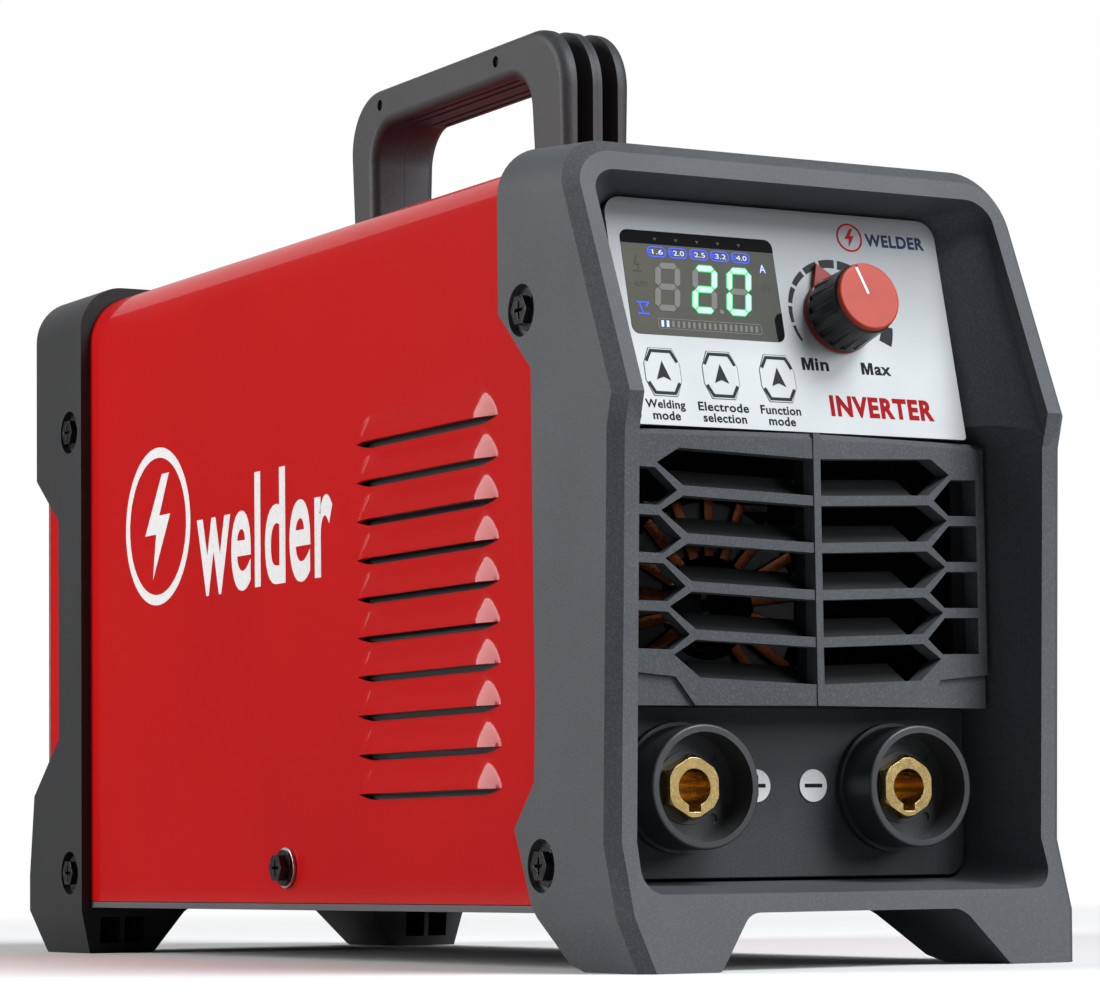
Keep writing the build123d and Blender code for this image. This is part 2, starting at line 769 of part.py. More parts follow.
def make_handle_bolts():
    low = cover_top - cover_wall - 2.2
    shapes = []
    for y in handle_bolt_ys:
        head = Pos(0, y, low - 3.5) * extrude(RegularPolygon(4.0, 6, major_radius=False), amount=3.4)
        washer = rod_z(0, y, 5.0, low - 0.1, low - 0.0)
        shapes.append(head + washer + rod_z(0, y, 2.15, low - 0.2, cover_top + 15))
    return group(shapes)


def make_rear_panel():
    y1 = rear_face_y
    outline = cover_outline(cover_half - 0.1, cover_top - 0.1, tray_bottom + 0.2, cover_corner)
    plate = prism_y(outline, rear_plate_y, y1)
    plate -= rod_y(0, fan_z, fan_half - 3, rear_plate_y - 1, y1 + 1)
    for x, z in fan_screw_spots:
        plate -= rod_y(x, z, 2.2, rear_plate_y - 1, y1 + 1)
    plate -= rod_y(gland_x, gland_z, 8.2, rear_plate_y - 1, y1 + 1)
    switch_hole = Box(22.4, 10, 28.4)
    plate -= Pos(switch_x, rear_plate_y, switch_z) * switch_hole
    plate -= rod_y(0, earth_z, 3.1, rear_plate_y - 1, y1 + 1)
    return plate


fan_screw_spots = [(x, fan_z + dz) for x in (-41.3, 41.3) for dz in (-41.3, 41.3)]


def make_fan_frame():
    y1 = rear_plate_y - 0.2
    body = block(-fan_half, fan_half, fan_front_y, y1, fan_z - fan_half, fan_z + fan_half)
    body = fillet(body.edges().filter_by(Axis.Y), 4)
    body -= rod_y(0, fan_z, fan_half - 2.2, fan_front_y - 1, y1 + 1)
    motor = rod_y(0, fan_z, 16, y1 - 4, y1)
    for turn in (20, 140, 260):
        arm = block(0, fan_half - 1.5, y1 - 4, y1, -2, 2)
        motor += Pos(0, 0, fan_z) * Rot(0, turn, 0) * arm
    body += motor
    for x, z in fan_screw_spots:
        body -= rod_y(x, z, 2.2, fan_front_y - 1, y1 + 1)
    pin_hole = rod_y(0, fan_z, 2.1, y1 - 5, y1 + 1)
    return body - pin_hole


def make_fan_rotor():
    y1 = rear_plate_y - 4.6
    hub = rod_y(0, fan_z, 17, fan_front_y + 2, y1)
    pin = rod_y(0, fan_z, 2.0, y1 - 1, y1 + 2.6)
    rotor = hub + pin
    for index in range(fan_blades):
        blade = block(15.5, fan_half - 4, -9, 9, -0.8, 0.8)
        blade = Pos(0, (fan_front_y + y1) / 2, 0) * Rot(38, 0, 0) * blade
        rotor += Pos(0, 0, fan_z) * Rot(0, 360 / fan_blades * index, 0) * blade
    return rotor


def make_fan_guard():
    y0 = rear_face_y
    y1 = y0 + 2.2
    guard = ring_y(0, fan_z, 47.5, 44.5, y0 + 0.1, y1)
    for radius in (36, 28, 20, 12):
        guard += ring_y(0, fan_z, radius, radius - 1.8, y0 + 0.4, y1)
    for turn in (45, 135):
        arm = block(-58, 58, y0 + 0.4, y1, -1.6, 1.6)
        guard += Pos(0, 0, fan_z) * Rot(0, turn, 0) * arm
    for x, z in fan_screw_spots:
        lug = rod_y(x, z, 5, y0 + 0.1, y1)
        guard += lug
    for x, z in fan_screw_spots:
        guard -= rod_y(x, z, 2.2, y0 - 1, y1 + 1)
    return guard


def make_fan_screws():
    y1 = rear_face_y + 2.3
    shapes = []
    for x, z in fan_screw_spots:
        head = rod_y(x, z, 3.6, y1, y1 + 2.2)
        head = fillet(head.edges().filter_by(GeomType.CIRCLE).group_by(Axis.Y)[-1], 1.2)
        head -= block(x - 1.8, x + 1.8, y1 + 1.2, y1 + 3, z - 0.35, z + 0.35)
        head -= block(x - 0.35, x + 0.35, y1 + 1.2, y1 + 3, z - 1.8, z + 1.8)
        shapes.append(head + rod_y(x, z, 2.0, fan_front_y + 1, y1))
    return group(shapes)


switch_tilt = 11.0
switch_pivot_y = rear_face_y - 3.0


def make_switch_body():
    y0 = rear_face_y + 0.1
    bezel = block(switch_x - 13.5, switch_x + 13.5, y0, y0 + 2, switch_z - 16.5, switch_z + 16.5)
    bezel = fillet(bezel.edges().filter_by(Axis.Y), 1.5)
    body = block(switch_x - 11, switch_x + 11, y0 - 22, y0 + 0.5, switch_z - 14, switch_z + 14)
    well = block(switch_x - 9, switch_x + 9, y0 - 9, y0 + 5, switch_z - 12.2, switch_z + 12.2)
    tabs = []
    for x, z in [(switch_x + dx, switch_z + dz) for dx in (-5, 5) for dz in (-8, 8)]:
        tabs.append(block(x - 3, x + 3, y0 - 30, y0 - 21, z - 0.4, z + 0.4))
    pin_hole = rod_x(switch_pivot_y, switch_z, 1.26, switch_x - 10.4, switch_x + 10.4)
    return bezel + body + tabs - well - pin_hole


def make_switch_rocker():
    """The rocker, tipped to off: its top edge stands out."""
    rocker_half_z = 11.1
    profile = (
        (switch_pivot_y - 2.4, -3), (switch_pivot_y + 3.4, -rocker_half_z),
        (switch_pivot_y + 5.4, -rocker_half_z), (switch_pivot_y + 4.4, 0),
        (switch_pivot_y + 5.4, rocker_half_z), (switch_pivot_y + 3.4, rocker_half_z),
        (switch_pivot_y - 2.4, 3),
    )
    rocker = prism_x(profile, -8.7, 8.7)
    turned = Pos(0, switch_pivot_y, 0) * Rot(-switch_tilt, 0, 0) * Pos(0, -switch_pivot_y, 0) * rocker
    pin = rod_x(switch_pivot_y, 0, 1.2, -10.2, 10.2)
    return Pos(switch_x, 0, switch_z) * (turned + pin)


def make_gland():
    y0 = rear_face_y + 0.1
    body = nut_y(gland_x, gland_z, 22, 5.2, y0, y0 + 3.4)
    body += rod_y(gland_x, gland_z, 8.0, y0 - 10, y0)
    dome = Pos(gland_x, y0 + 3.4, gland_z) * Rot(-90, 0, 0) * extrude(Circle(10), amount=4.6, taper=16)
    return body + dome - rod_y(gland_x, gland_z, 5.0, y0 - 12, y0 + 30)


def make_earth_stud():
    stud = rod_y(0, earth_z, 2.9, rear_face_y - 12, rear_face_y + 7)
    shoulder = rod_y(0, earth_z, 5.5, rear_plate_y - 3, rear_plate_y - 0.1)
    return stud + shoulder


def make_main_board():
    board = block(-52, 52, 60, 290, board_low, board_low + board_thick)
    for x, y in standoff_spots:
        board -= rod_z(x, y, 1.6, board_low - 1, board_low + 5)
    return board


def make_standoffs():
    shapes = []
    board_top = board_low + board_thick
    for x, y in standoff_spots:
        post = Pos(x, y, tray_top) * extrude(RegularPolygon(3.0, 6), amount=board_low - tray_top)
        stud = rod_z(x, y, 1.5, tray_bottom + 0.2, board_top)
        shapes.append(post + stud + rod_z(x, y, 2.8, board_top, board_top + 1.5))
    return group(shapes)


def make_heatsink(x0, x1):
    """An extruded aluminium heatsink: a thick web with fins along the air stream."""
    low = board_low + board_thick + 0.2
    web_x = (x0 + x1) / 2
    sink = block(web_x - 2, web_x + 2, 110, 240, low, low + 96)
    for index in range(9):
        z = low + 10 + index * 10.5
        sink += block(x0, x1, 110, 240, z, z + 1.8)
    return sink


def make_transformer_core():
    low = board_low + board_thick + 0.2
    x0, x1, y0, y1 = -24, 24, 246, 300
    core = block(x0, x1, y0, y1, low, low + 46)
    for sign in (-1, 1):
        inner, outer = sorted((sign * 8, sign * 19))
        core -= block(inner, outer, y0 - 1, y1 + 1, low + 9, low + 37)
    return core


def make_transformer_winding():
    low = board_low + board_thick + 9.6
    outer = block(-18.6, 18.6, 242, 304, low, low + 26.8)
    inner = block(-8.4, 8.4, 245.6, 300.4, low - 1, low + 28)
    return outer - inner


def make_choke():
    """A ring core standing behind the grille, wound with copper bars."""
    y0, y1 = 62, 84
    ring = rod_y(0, 92, 27, y0, y1) - rod_y(0, 92, 14, y0 - 1, y1 + 1)
    return ring


def make_choke_winding():
    y0, y1 = 62, 84
    shapes = []
    turns = 14
    for index in range(turns):
        wrap = block(12.6, 28.4, y0 - 1.6, y1 + 1.6, -1.6, 1.6)
        wrap -= block(13.8, 27.2, y0 - 0.2, y1 + 0.2, -3, 3)
        angle = 290 / turns * index - 55
        shapes.append(Pos(0, 0, 92) * Rot(0, -angle, 0) * wrap)
    return group(shapes)


def make_choke_seat():
    low = board_low + board_thick + 0.2
    seat = block(-16, 16, 58.5, 88, low, 72)
    return seat - rod_y(0, 92, 29, 50, 100)


def make_capacitors():
    low = board_low + board_thick + 0.2
    shapes = []
    for x in (-35.3, 35.3):
        for y in (262, 284):
            can = Pos(x, y, low) * extrude(Circle(10.2), amount=42)
            shapes.append(fillet(can.edges().filter_by(GeomType.CIRCLE), 1.2))
    return group(shapes)


def make_power_modules():
    low = board_low + board_thick + 0.4
    shapes = []
    for y in (120, 150, 180, 210):
        shapes.append(block(-7.6, -2.6, y, y + 16, low, low + 24))
        shapes.append(block(2.6, 7.6, y, y + 16, low, low + 24))
    return group(shapes)


nodes = {
    "front_frame": make_front_frame(),
    "rear_frame": make_rear_frame(),
    "cover": make_cover(),
    "base_tray": make_base_tray(),
    "control_panel": make_control_panel(),
    "panel_overlay": make_overlay(),
    "display_window": make_display_window(),
    "display_module": make_display_module(),
    "control_board": make_control_board(),
    "tact_switches": make_tact_switches(),
    "potentiometer": make_potentiometer(),
    "knob_shaft": make_knob_shaft(),
    "knob_body": make_knob_body(),
    "knob_cap": make_knob_cap(),
    "knob_line": make_knob_line(),
    "knob_skirt": make_knob_skirt(),
    "front_grille": make_grille(),
    "connector_panel": make_connector_panel(),
    "polarity_labels": make_polarity_labels(),
    "handle_left": make_handle_half(-1),
    "handle_right": make_handle_half(1),
    "handle_screws": make_handle_screws(),
    "handle_bracket": make_handle_bracket(),
    "handle_bolts": make_handle_bolts(),
    "rear_panel": make_rear_panel(),
    "fan_frame": make_fan_frame(),
    "fan_rotor": make_fan_rotor(),
    "fan_guard": make_fan_guard(),
    "fan_screws": make_fan_screws(),
    "power_switch": make_switch_body(),
    "power_rocker": make_switch_rocker(),
    "cable_gland": make_gland(),
    "gland_nut": nut_y(gland_x, gland_z, 20, 8.1, rear_plate_y - 4.6, rear_plate_y - 0.1),
    "earth_stud": make_earth_stud(),
    "earth_nut": nut_y(0, earth_z, 9, 3.0, rear_face_y + 0.1, rear_face_y + 4),
    "main_board": make_main_board(),
    "board_standoffs": make_standoffs(),
    "heatsink_left": make_heatsink(-50, -10),
    "heatsink_right": make_heatsink(10, 50),
    "transformer_core": make_transformer_core(),
    "transformer_winding": make_transformer_winding(),
    "choke_core": make_choke(),
    "choke_winding": make_choke_winding(),
    "choke_seat": make_choke_seat(),
    "capacitors": make_capacitors(),
    "power_modules": make_power_modules(),
}
for index, x in enumerate(key_xs):
    nodes["key_" + str(index + 1)] = make_key(x)
for name, x in (("left", -socket_x), ("right", socket_x)):
    nodes["socket_body_" + name] = make_socket_body(x)
    nodes["socket_contact_" + name] = make_socket_contact(x)
    nodes["busbar_" + name] = make_busbar(x)
sides = (-1, 1)
nut_hole_r = contact_thread_r + 0.05
nodes["socket_nuts"] = group([nut_y(s * socket_x, socket_z, 19, nut_hole_r, 33.2, 39.0) for s in sides])
nodes["front_frame_screws"] = group([hex_screw(y, z, s) for y, z in front_screws for s in sides])
nodes["rear_frame_screws"] = group([hex_screw(y, z, s) for y, z in rear_screws for s in sides])
cover_seat = cover_half + 0.9
nodes["cover_screws"] = group([hex_screw(*cover_screw, s, cover_seat) for s in sides])
washers = [rod_x(*cover_screw, 5.6, s * cover_half, s * cover_seat) for s in sides]
hole = rod_x(*cover_screw, screw_hole_r, -80, 80)
nodes["cover_washers"] = group([washer - hole for washer in washers])

for name, shape in nodes.items():
    save(name, shape)
print(len(nodes), "nodes")
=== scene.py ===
import json
import math

import bmesh
import bpy
from mathutils import Matrix, Vector


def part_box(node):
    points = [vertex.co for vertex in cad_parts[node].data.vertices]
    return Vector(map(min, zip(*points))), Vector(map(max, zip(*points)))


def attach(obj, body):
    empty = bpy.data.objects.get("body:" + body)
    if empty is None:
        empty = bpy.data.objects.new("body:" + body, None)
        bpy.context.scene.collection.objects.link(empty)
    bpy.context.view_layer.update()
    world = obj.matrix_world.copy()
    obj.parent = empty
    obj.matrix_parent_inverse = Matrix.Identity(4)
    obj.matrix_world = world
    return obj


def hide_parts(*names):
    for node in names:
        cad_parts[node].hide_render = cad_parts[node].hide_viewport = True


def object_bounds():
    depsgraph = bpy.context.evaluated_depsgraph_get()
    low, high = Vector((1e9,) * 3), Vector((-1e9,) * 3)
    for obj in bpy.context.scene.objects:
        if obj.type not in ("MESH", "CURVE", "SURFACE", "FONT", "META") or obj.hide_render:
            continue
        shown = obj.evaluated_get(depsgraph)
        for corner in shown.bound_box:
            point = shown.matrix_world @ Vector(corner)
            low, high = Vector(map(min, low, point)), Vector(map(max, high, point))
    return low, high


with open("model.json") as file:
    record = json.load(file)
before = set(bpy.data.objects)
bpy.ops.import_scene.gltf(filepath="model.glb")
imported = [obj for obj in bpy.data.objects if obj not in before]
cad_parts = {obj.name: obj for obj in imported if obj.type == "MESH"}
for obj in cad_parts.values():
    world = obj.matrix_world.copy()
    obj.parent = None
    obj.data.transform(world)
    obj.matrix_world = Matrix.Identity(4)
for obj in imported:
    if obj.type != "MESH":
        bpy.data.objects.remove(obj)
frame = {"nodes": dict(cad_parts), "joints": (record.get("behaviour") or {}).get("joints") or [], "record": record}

# Settings are in millimetres. Meshes and places are in metres.
mm = 0.001
cadLow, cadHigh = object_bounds()
cadNodes = frame["nodes"]
joints = {joint["name"]: joint for joint in frame["joints"]}
slotOfNode = {part["node"]: part["material_slot"] for part in frame["record"]["subparts"]}
bodies = frame["record"]["behaviour"]["bodies"]
bodyOfNode = {node: body for body, members in bodies.items() for node in members}
print("frame loaded,", len(cadNodes), "nodes")


# finishes
def newFinish(name):
    finish = bpy.data.materials.new(name)
    finish.use_nodes = True
    return finish, finish.node_tree, finish.node_tree.nodes["Principled BSDF"]


def addNoise(tree, size, detail=3.0, stretch=(1, 1, 1)):
    # size is how wide one blotch or grain is
    place = tree.nodes.new("ShaderNodeTexCoord")
    mapping = tree.nodes.new("ShaderNodeMapping")
    mapping.inputs["Scale"].default_value = stretch
    noise = tree.nodes.new("ShaderNodeTexNoise")
    noise.inputs["Scale"].default_value = 1 / (size * mm)
    noise.inputs["Detail"].default_value = detail
    tree.links.new(place.outputs["Object"], mapping.inputs["Vector"])
    tree.links.new(mapping.outputs["Vector"], noise.inputs["Vector"])
    return noise.outputs["Fac"]


def addRange(tree, source, low, high, fromLow=0.3, fromHigh=0.7):
    spread = tree.nodes.new("ShaderNodeMapRange")
    spread.inputs["From Min"].default_value = fromLow
    spread.inputs["From Max"].default_value = fromHigh
    spread.inputs["To Min"].default_value = low
    spread.inputs["To Max"].default_value = high
    tree.links.new(source, spread.inputs["Value"])
    return spread.outputs["Result"]


def addMix(tree, source, colourA, colourB):
    blend = tree.nodes.new("ShaderNodeMix")
    blend.data_type = "RGBA"
    for index, colour in ((6, colourA), (7, colourB)):
        if isinstance(colour, tuple):
            blend.inputs[index].default_value = (*colour, 1)
        else:
            tree.links.new(colour, blend.inputs[index])
    tree.links.new(source, blend.inputs[0])
    return blend.outputs[2]


def addBump(tree, shader, height, strength, depth):
    bump = tree.nodes.new("ShaderNodeBump")
    bump.inputs["Strength"].default_value = strength
    bump.inputs["Distance"].default_value = depth * mm
    tree.links.new(height, bump.inputs["Height"])
    tree.links.new(bump.outputs["Normal"], shader.inputs["Normal"])


def blotchedFinish(name, look):
    # two close tones in soft blotches, grain in the gloss and in the relief
    finish, tree, shader = newFinish(name)
    blotch = addRange(tree, addNoise(tree, look.get("blotch", 12), 4), 0, 1)
    tone = addMix(tree, blotch, look["dark"], look["light"])
    grain = addNoise(tree, look.get("grain", 0.6), 3, look.get("stretch", (1, 1, 1)))
    if look.get("speckle"):
        spots = addRange(tree, grain, 0, look["speckle"], 0.45, 0.72)
        tone = addMix(tree, spots, tone, look["speckleTone"])
    tree.links.new(tone, shader.inputs["Base Color"])
    tree.links.new(addRange(tree, grain, *look["rough"]), shader.inputs["Roughness"])
    addBump(tree, shader, grain, look.get("relief", 0.2), look.get("depth", 0.03))
    shader.inputs["Metallic"].default_value = look.get("metal", 0)
    shader.inputs["Coat Weight"].default_value = look.get("coat", 0)
    shader.inputs["Coat Roughness"].default_value = look.get("coatRough", 0.05)
    shader.inputs["Specular IOR Level"].default_value = look.get("specular", 0.5)
    finish.diffuse_color = (*look["light"], 1)
    return finish


finishLooks = {
    "frame_plastic": {
        "dark": (0.064, 0.069, 0.075), "light": (0.077, 0.083, 0.090), "blotch": 30, "grain": 0.55,
        "speckle": 0.5, "speckleTone": (0.145, 0.154, 0.166), "rough": (0.46, 0.62), "relief": 0.5,
        "depth": 0.05, "specular": 0.2,
    },
    # painted shade: a darker copy of frame_plastic for the handle and the connector panel, which stand in less
    # light
    "shaded_frame_plastic": {
        "dark": (0.032, 0.034, 0.037), "light": (0.040, 0.042, 0.046), "blotch": 30, "grain": 0.55,
        "speckle": 0.5, "speckleTone": (0.080, 0.084, 0.090), "rough": (0.42, 0.6), "relief": 0.5,
        "depth": 0.05, "specular": 0.3,
    },
    # painted shade: near black, for the grille's deeper faces, which lie in the recess's shade
    "grille_depth": {
        "dark": (0.012, 0.013, 0.014), "light": (0.018, 0.019, 0.020), "blotch": 14, "grain": 0.5,
        "rough": (0.5, 0.7), "relief": 0.3, "depth": 0.04,
    },
    "rear_plastic": {
        "dark": (0.018, 0.019, 0.020), "light": (0.024, 0.025, 0.027), "blotch": 30, "grain": 0.55,
        "speckle": 0.4, "speckleTone": (0.042, 0.044, 0.047), "rough": (0.38, 0.54), "relief": 0.35,
        "depth": 0.04, "specular": 0.25,
    },
    "cover_paint": {
        "dark": (0.50, 0.0035, 0.0035), "light": (0.56, 0.0045, 0.004), "blotch": 90, "grain": 1.6,
        "rough": (0.36, 0.42), "relief": 0.04, "depth": 0.01,
        "coat": 0.45, "coatRough": 0.06, "specular": 0.04,
    },
    "tray_paint": {
        "dark": (0.085, 0.080, 0.084), "light": (0.115, 0.108, 0.113), "blotch": 40, "grain": 1.2,
        "rough": (0.34, 0.42), "relief": 0.05, "depth": 0.02,
    },
    "panel_plate": {
        "dark": (0.50, 0.51, 0.52), "light": (0.60, 0.61, 0.62), "blotch": 8, "grain": 0.5,
        "stretch": (0.05, 1, 1), "rough": (0.30, 0.45), "relief": 0.1, "depth": 0.01, "metal": 1,
    },
    "panel_foil": {
        "dark": (0.40, 0.415, 0.42), "light": (0.44, 0.455, 0.46), "blotch": 18, "grain": 0.25,
        "rough": (0.40, 0.50), "relief": 0.06, "depth": 0.01, "metal": 0.2, "specular": 0.3,
    },
    "window_black": {
        "dark": (0.006, 0.006, 0.007), "light": (0.010, 0.010, 0.012), "blotch": 9, "grain": 0.8,
        "rough": (0.08, 0.12), "relief": 0.01, "depth": 0.005, "coat": 0.4,
    },
    "display_case": {
        "dark": (0.55, 0.55, 0.52), "light": (0.66, 0.66, 0.62), "blotch": 5, "grain": 0.4,
        "rough": (0.45, 0.55), "relief": 0.05,
    },
    "circuit_board": {
        "dark": (0.006, 0.055, 0.020), "light": (0.012, 0.10, 0.034), "blotch": 1.6, "grain": 0.5,
        "rough": (0.25, 0.5), "relief": 0.2, "depth": 0.04, "coat": 0.2,
    },
    "switch_black": {
        "dark": (0.012, 0.012, 0.013), "light": (0.02, 0.02, 0.021), "blotch": 6, "grain": 0.5,
        "rough": (0.32, 0.42), "relief": 0.08,
    },
    "zinc_steel": {
        "dark": (0.50, 0.51, 0.53), "light": (0.66, 0.67, 0.69), "blotch": 2.5, "grain": 0.3,
        "rough": (0.22, 0.42), "relief": 0.15, "depth": 0.01, "metal": 1,
    },
    "knob_black": {
        "dark": (0.010, 0.010, 0.011), "light": (0.017, 0.017, 0.018), "blotch": 5, "grain": 0.4,
        "rough": (0.26, 0.36), "relief": 0.08, "depth": 0.01,
    },
    "knob_red": {
        "dark": (0.40, 0.040, 0.020), "light": (0.46, 0.048, 0.025), "blotch": 5, "grain": 0.35,
        "rough": (0.38, 0.48), "relief": 0.12, "depth": 0.01, "specular": 0.3,
    },
    "skirt_red": {
        "dark": (0.20, 0.008, 0.007), "light": (0.25, 0.011, 0.009), "blotch": 5, "grain": 0.35,
        "rough": (0.38, 0.48), "relief": 0.12, "depth": 0.01, "specular": 0.3,
    },
    "mark_white": {
        "dark": (0.74, 0.74, 0.74), "light": (0.82, 0.82, 0.82), "blotch": 6, "grain": 0.5,
        "rough": (0.36, 0.5), "relief": 0.04, "depth": 0.01,
    },
    "socket_black": {
        "dark": (0.028, 0.029, 0.031), "light": (0.040, 0.042, 0.045), "blotch": 8, "grain": 0.5,
        "rough": (0.32, 0.44), "relief": 0.1, "depth": 0.02,
    },
    "brass": {
        "dark": (0.70, 0.49, 0.19), "light": (0.80, 0.59, 0.26), "blotch": 6, "grain": 1.2,
        "stretch": (1, 0.2, 1), "rough": (0.22, 0.28), "relief": 0.02, "depth": 0.005, "metal": 1,
    },
    "copper": {
        "dark": (0.07, 0.022, 0.009), "light": (0.11, 0.034, 0.014), "blotch": 3, "grain": 0.35,
        "rough": (0.25, 0.42), "relief": 0.15, "depth": 0.01, "metal": 1,
    },
    "aluminium": {
        "dark": (0.55, 0.56, 0.57), "light": (0.68, 0.69, 0.70), "blotch": 4, "grain": 0.4,
        "stretch": (1, 0.05, 1), "rough": (0.28, 0.46), "relief": 0.12, "depth": 0.01, "metal": 1,
    },
    "ferrite": {
        "dark": (0.030, 0.031, 0.033), "light": (0.048, 0.049, 0.051), "blotch": 2, "grain": 0.4,
        "rough": (0.5, 0.7), "relief": 0.3,
    },
    "winding_tape": {
        "dark": (0.62, 0.34, 0.03), "light": (0.76, 0.46, 0.05), "blotch": 4, "grain": 0.5,
        "rough": (0.25, 0.4), "relief": 0.15,
    },
    "capacitor_sleeve": {
        "dark": (0.010, 0.012, 0.03), "light": (0.016, 0.02, 0.05), "blotch": 5, "grain": 0.5,
        "rough": (0.22, 0.34), "relief": 0.05,
    },
    "fan_black": {
        "dark": (0.011, 0.011, 0.012), "light": (0.018, 0.018, 0.019), "blotch": 9, "grain": 0.6,
        "rough": (0.35, 0.5), "relief": 0.12,
    },
    "guard_steel": {
        "dark": (0.030, 0.031, 0.032), "light": (0.05, 0.051, 0.053), "blotch": 3, "grain": 0.35,
        "rough": (0.28, 0.45), "relief": 0.15, "metal": 0.6,
    },
    "screw_black": {
        "dark": (0.010, 0.010, 0.011), "light": (0.022, 0.022, 0.024), "blotch": 1.5, "grain": 0.25,
        "rough": (0.20, 0.36), "relief": 0.15, "depth": 0.01, "metal": 0.5, "coat": 0.3,
    },
}
finishes = {slot: blotchedFinish(slot, look) for slot, look in finishLooks.items()}


def shadeFoilTop(shadedTopTone=(0.135, 0.145, 0.151), share=(0.30, 0.95)):
    # painted shade: the foil is darkened from near white at its foot to grey at its top, standing in for the shade
    # cast by the rim above it
    tree = finishes["panel_foil"].node_tree
    shader = tree.nodes["Principled BSDF"]
    low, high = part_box("panel_overlay")
    place = tree.nodes.new("ShaderNodeTexCoord")
    split = tree.nodes.new("ShaderNodeSeparateXYZ")
    tree.links.new(place.outputs["Object"], split.inputs[0])
    start, end = (low.z + (high.z - low.z) * part for part in share)
    fade = addRange(tree, split.outputs["Z"], 0, 1, start, end)
    printed = shader.inputs["Base Color"].links[0].from_socket
    tree.links.new(addMix(tree, fade, printed, shadedTopTone), shader.inputs["Base Color"])


shadeFoilTop()


def addWireBands(slot, pitch, axis):
    # the ridges of turned tape on a winding
    tree = finishes[slot].node_tree
    shader = tree.nodes["Principled BSDF"]
    place = tree.nodes.new("ShaderNodeTexCoord")
    wave = tree.nodes.new("ShaderNodeTexWave")
    wave.bands_direction = axis
    wave.inputs["Scale"].default_value = 0.3 / (pitch * mm)
    tree.links.new(place.outputs["Object"], wave.inputs["Vector"])
    addBump(tree, shader, wave.outputs["Fac"], 0.6, 0.3)


addWireBands("winding_tape", 6, "Z")


inkLook = {"speck": 0.8, "darker": 0.88, "rough": 0.6, "specular": 0.04}


def inkFinish(name, tone, glow=0.0):
    # a printed or lit mark: its tone varies a little, as ink does
    finish, tree, shader = newFinish(name)
    speck = addRange(tree, addNoise(tree, inkLook["speck"]), 0, 1)
    darker = tuple(channel * inkLook["darker"] for channel in tone)
    mixed = addMix(tree, speck, darker, tone)
    tree.links.new(mixed, shader.inputs["Base Color"])
    shader.inputs["Roughness"].default_value = inkLook["rough"]
    shader.inputs["Specular IOR Level"].default_value = inkLook["specular"]
    if glow:
        tree.links.new(mixed, shader.inputs["Emission Color"])
        shader.inputs["Emission Strength"].default_value = glow
    finish.diffuse_color = (*tone, 1)
    return finish


inks = {
    "black": inkFinish("inkBlack", (0.020, 0.021, 0.023)),
    "grey": inkFinish("inkGrey", (0.036, 0.038, 0.041)),
    "red": inkFinish("inkRed", (0.36, 0.010, 0.014)),
    "navy": inkFinish("inkNavy", (0.022, 0.034, 0.075)),
    "white": inkFinish("inkWhite", (0.86, 0.86, 0.86)),
    "litGreen": inkFinish("litGreen", (0.46, 0.84, 0.62), 0.45),
    "litRim": inkFinish("litRim", (0.05, 0.55, 0.14), 0.5),
    "litBlue": inkFinish("litBlue", (0.06, 0.09, 0.85), 0.9),
    "litPale": inkFinish("litPale", (0.42, 0.52, 0.95), 0.8),
    "ghost": inkFinish("ghostSegment", (0.20, 0.198, 0.182), 0.06),
    "faint": inkFinish("faintSegment", (0.085, 0.082, 0.070), 0.02),
    "band": inkFinish("bandBlack", (0.003, 0.003, 0.004)),
}
print("finishes made:", len(finishes) + len(inks))


# making pieces
def finishPiece(piece, finish, body):
    piece.data.materials.clear()
    piece.data.materials.append(finish)
    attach(piece, body)
    return piece


def meshPiece(name, shape):
    mesh = bpy.data.meshes.new(name)
    shape.to_mesh(mesh)
    shape.free()
    piece = bpy.data.objects.new(name, mesh)
    bpy.context.scene.collection.objects.link(piece)
    return piece


def smoothFaces(shape):
    for face in shape.faces:
        face.smooth = True


def settlePiece(piece, angle):
    # modifiers become mesh, and edges that turn more than the angle stay crisp
    bpy.context.view_layer.update()
    evaluated = piece.evaluated_get(bpy.context.evaluated_depsgraph_get())
    mesh = bpy.data.meshes.new_from_object(evaluated)
    piece.modifiers.clear()
    shape = bmesh.new()
    shape.from_mesh(mesh)
    for edge in shape.edges:
        if len(edge.link_faces) != 2 or edge.calc_face_angle(0) > math.radians(angle):
            edge.smooth = False
    shape.to_mesh(mesh)
    shape.free()
    piece.data = mesh


# joining and rounding of the nodes' own faces
refining = {"weld": 0.002, "flatAngle": 0.6, "crispAngle": 28}

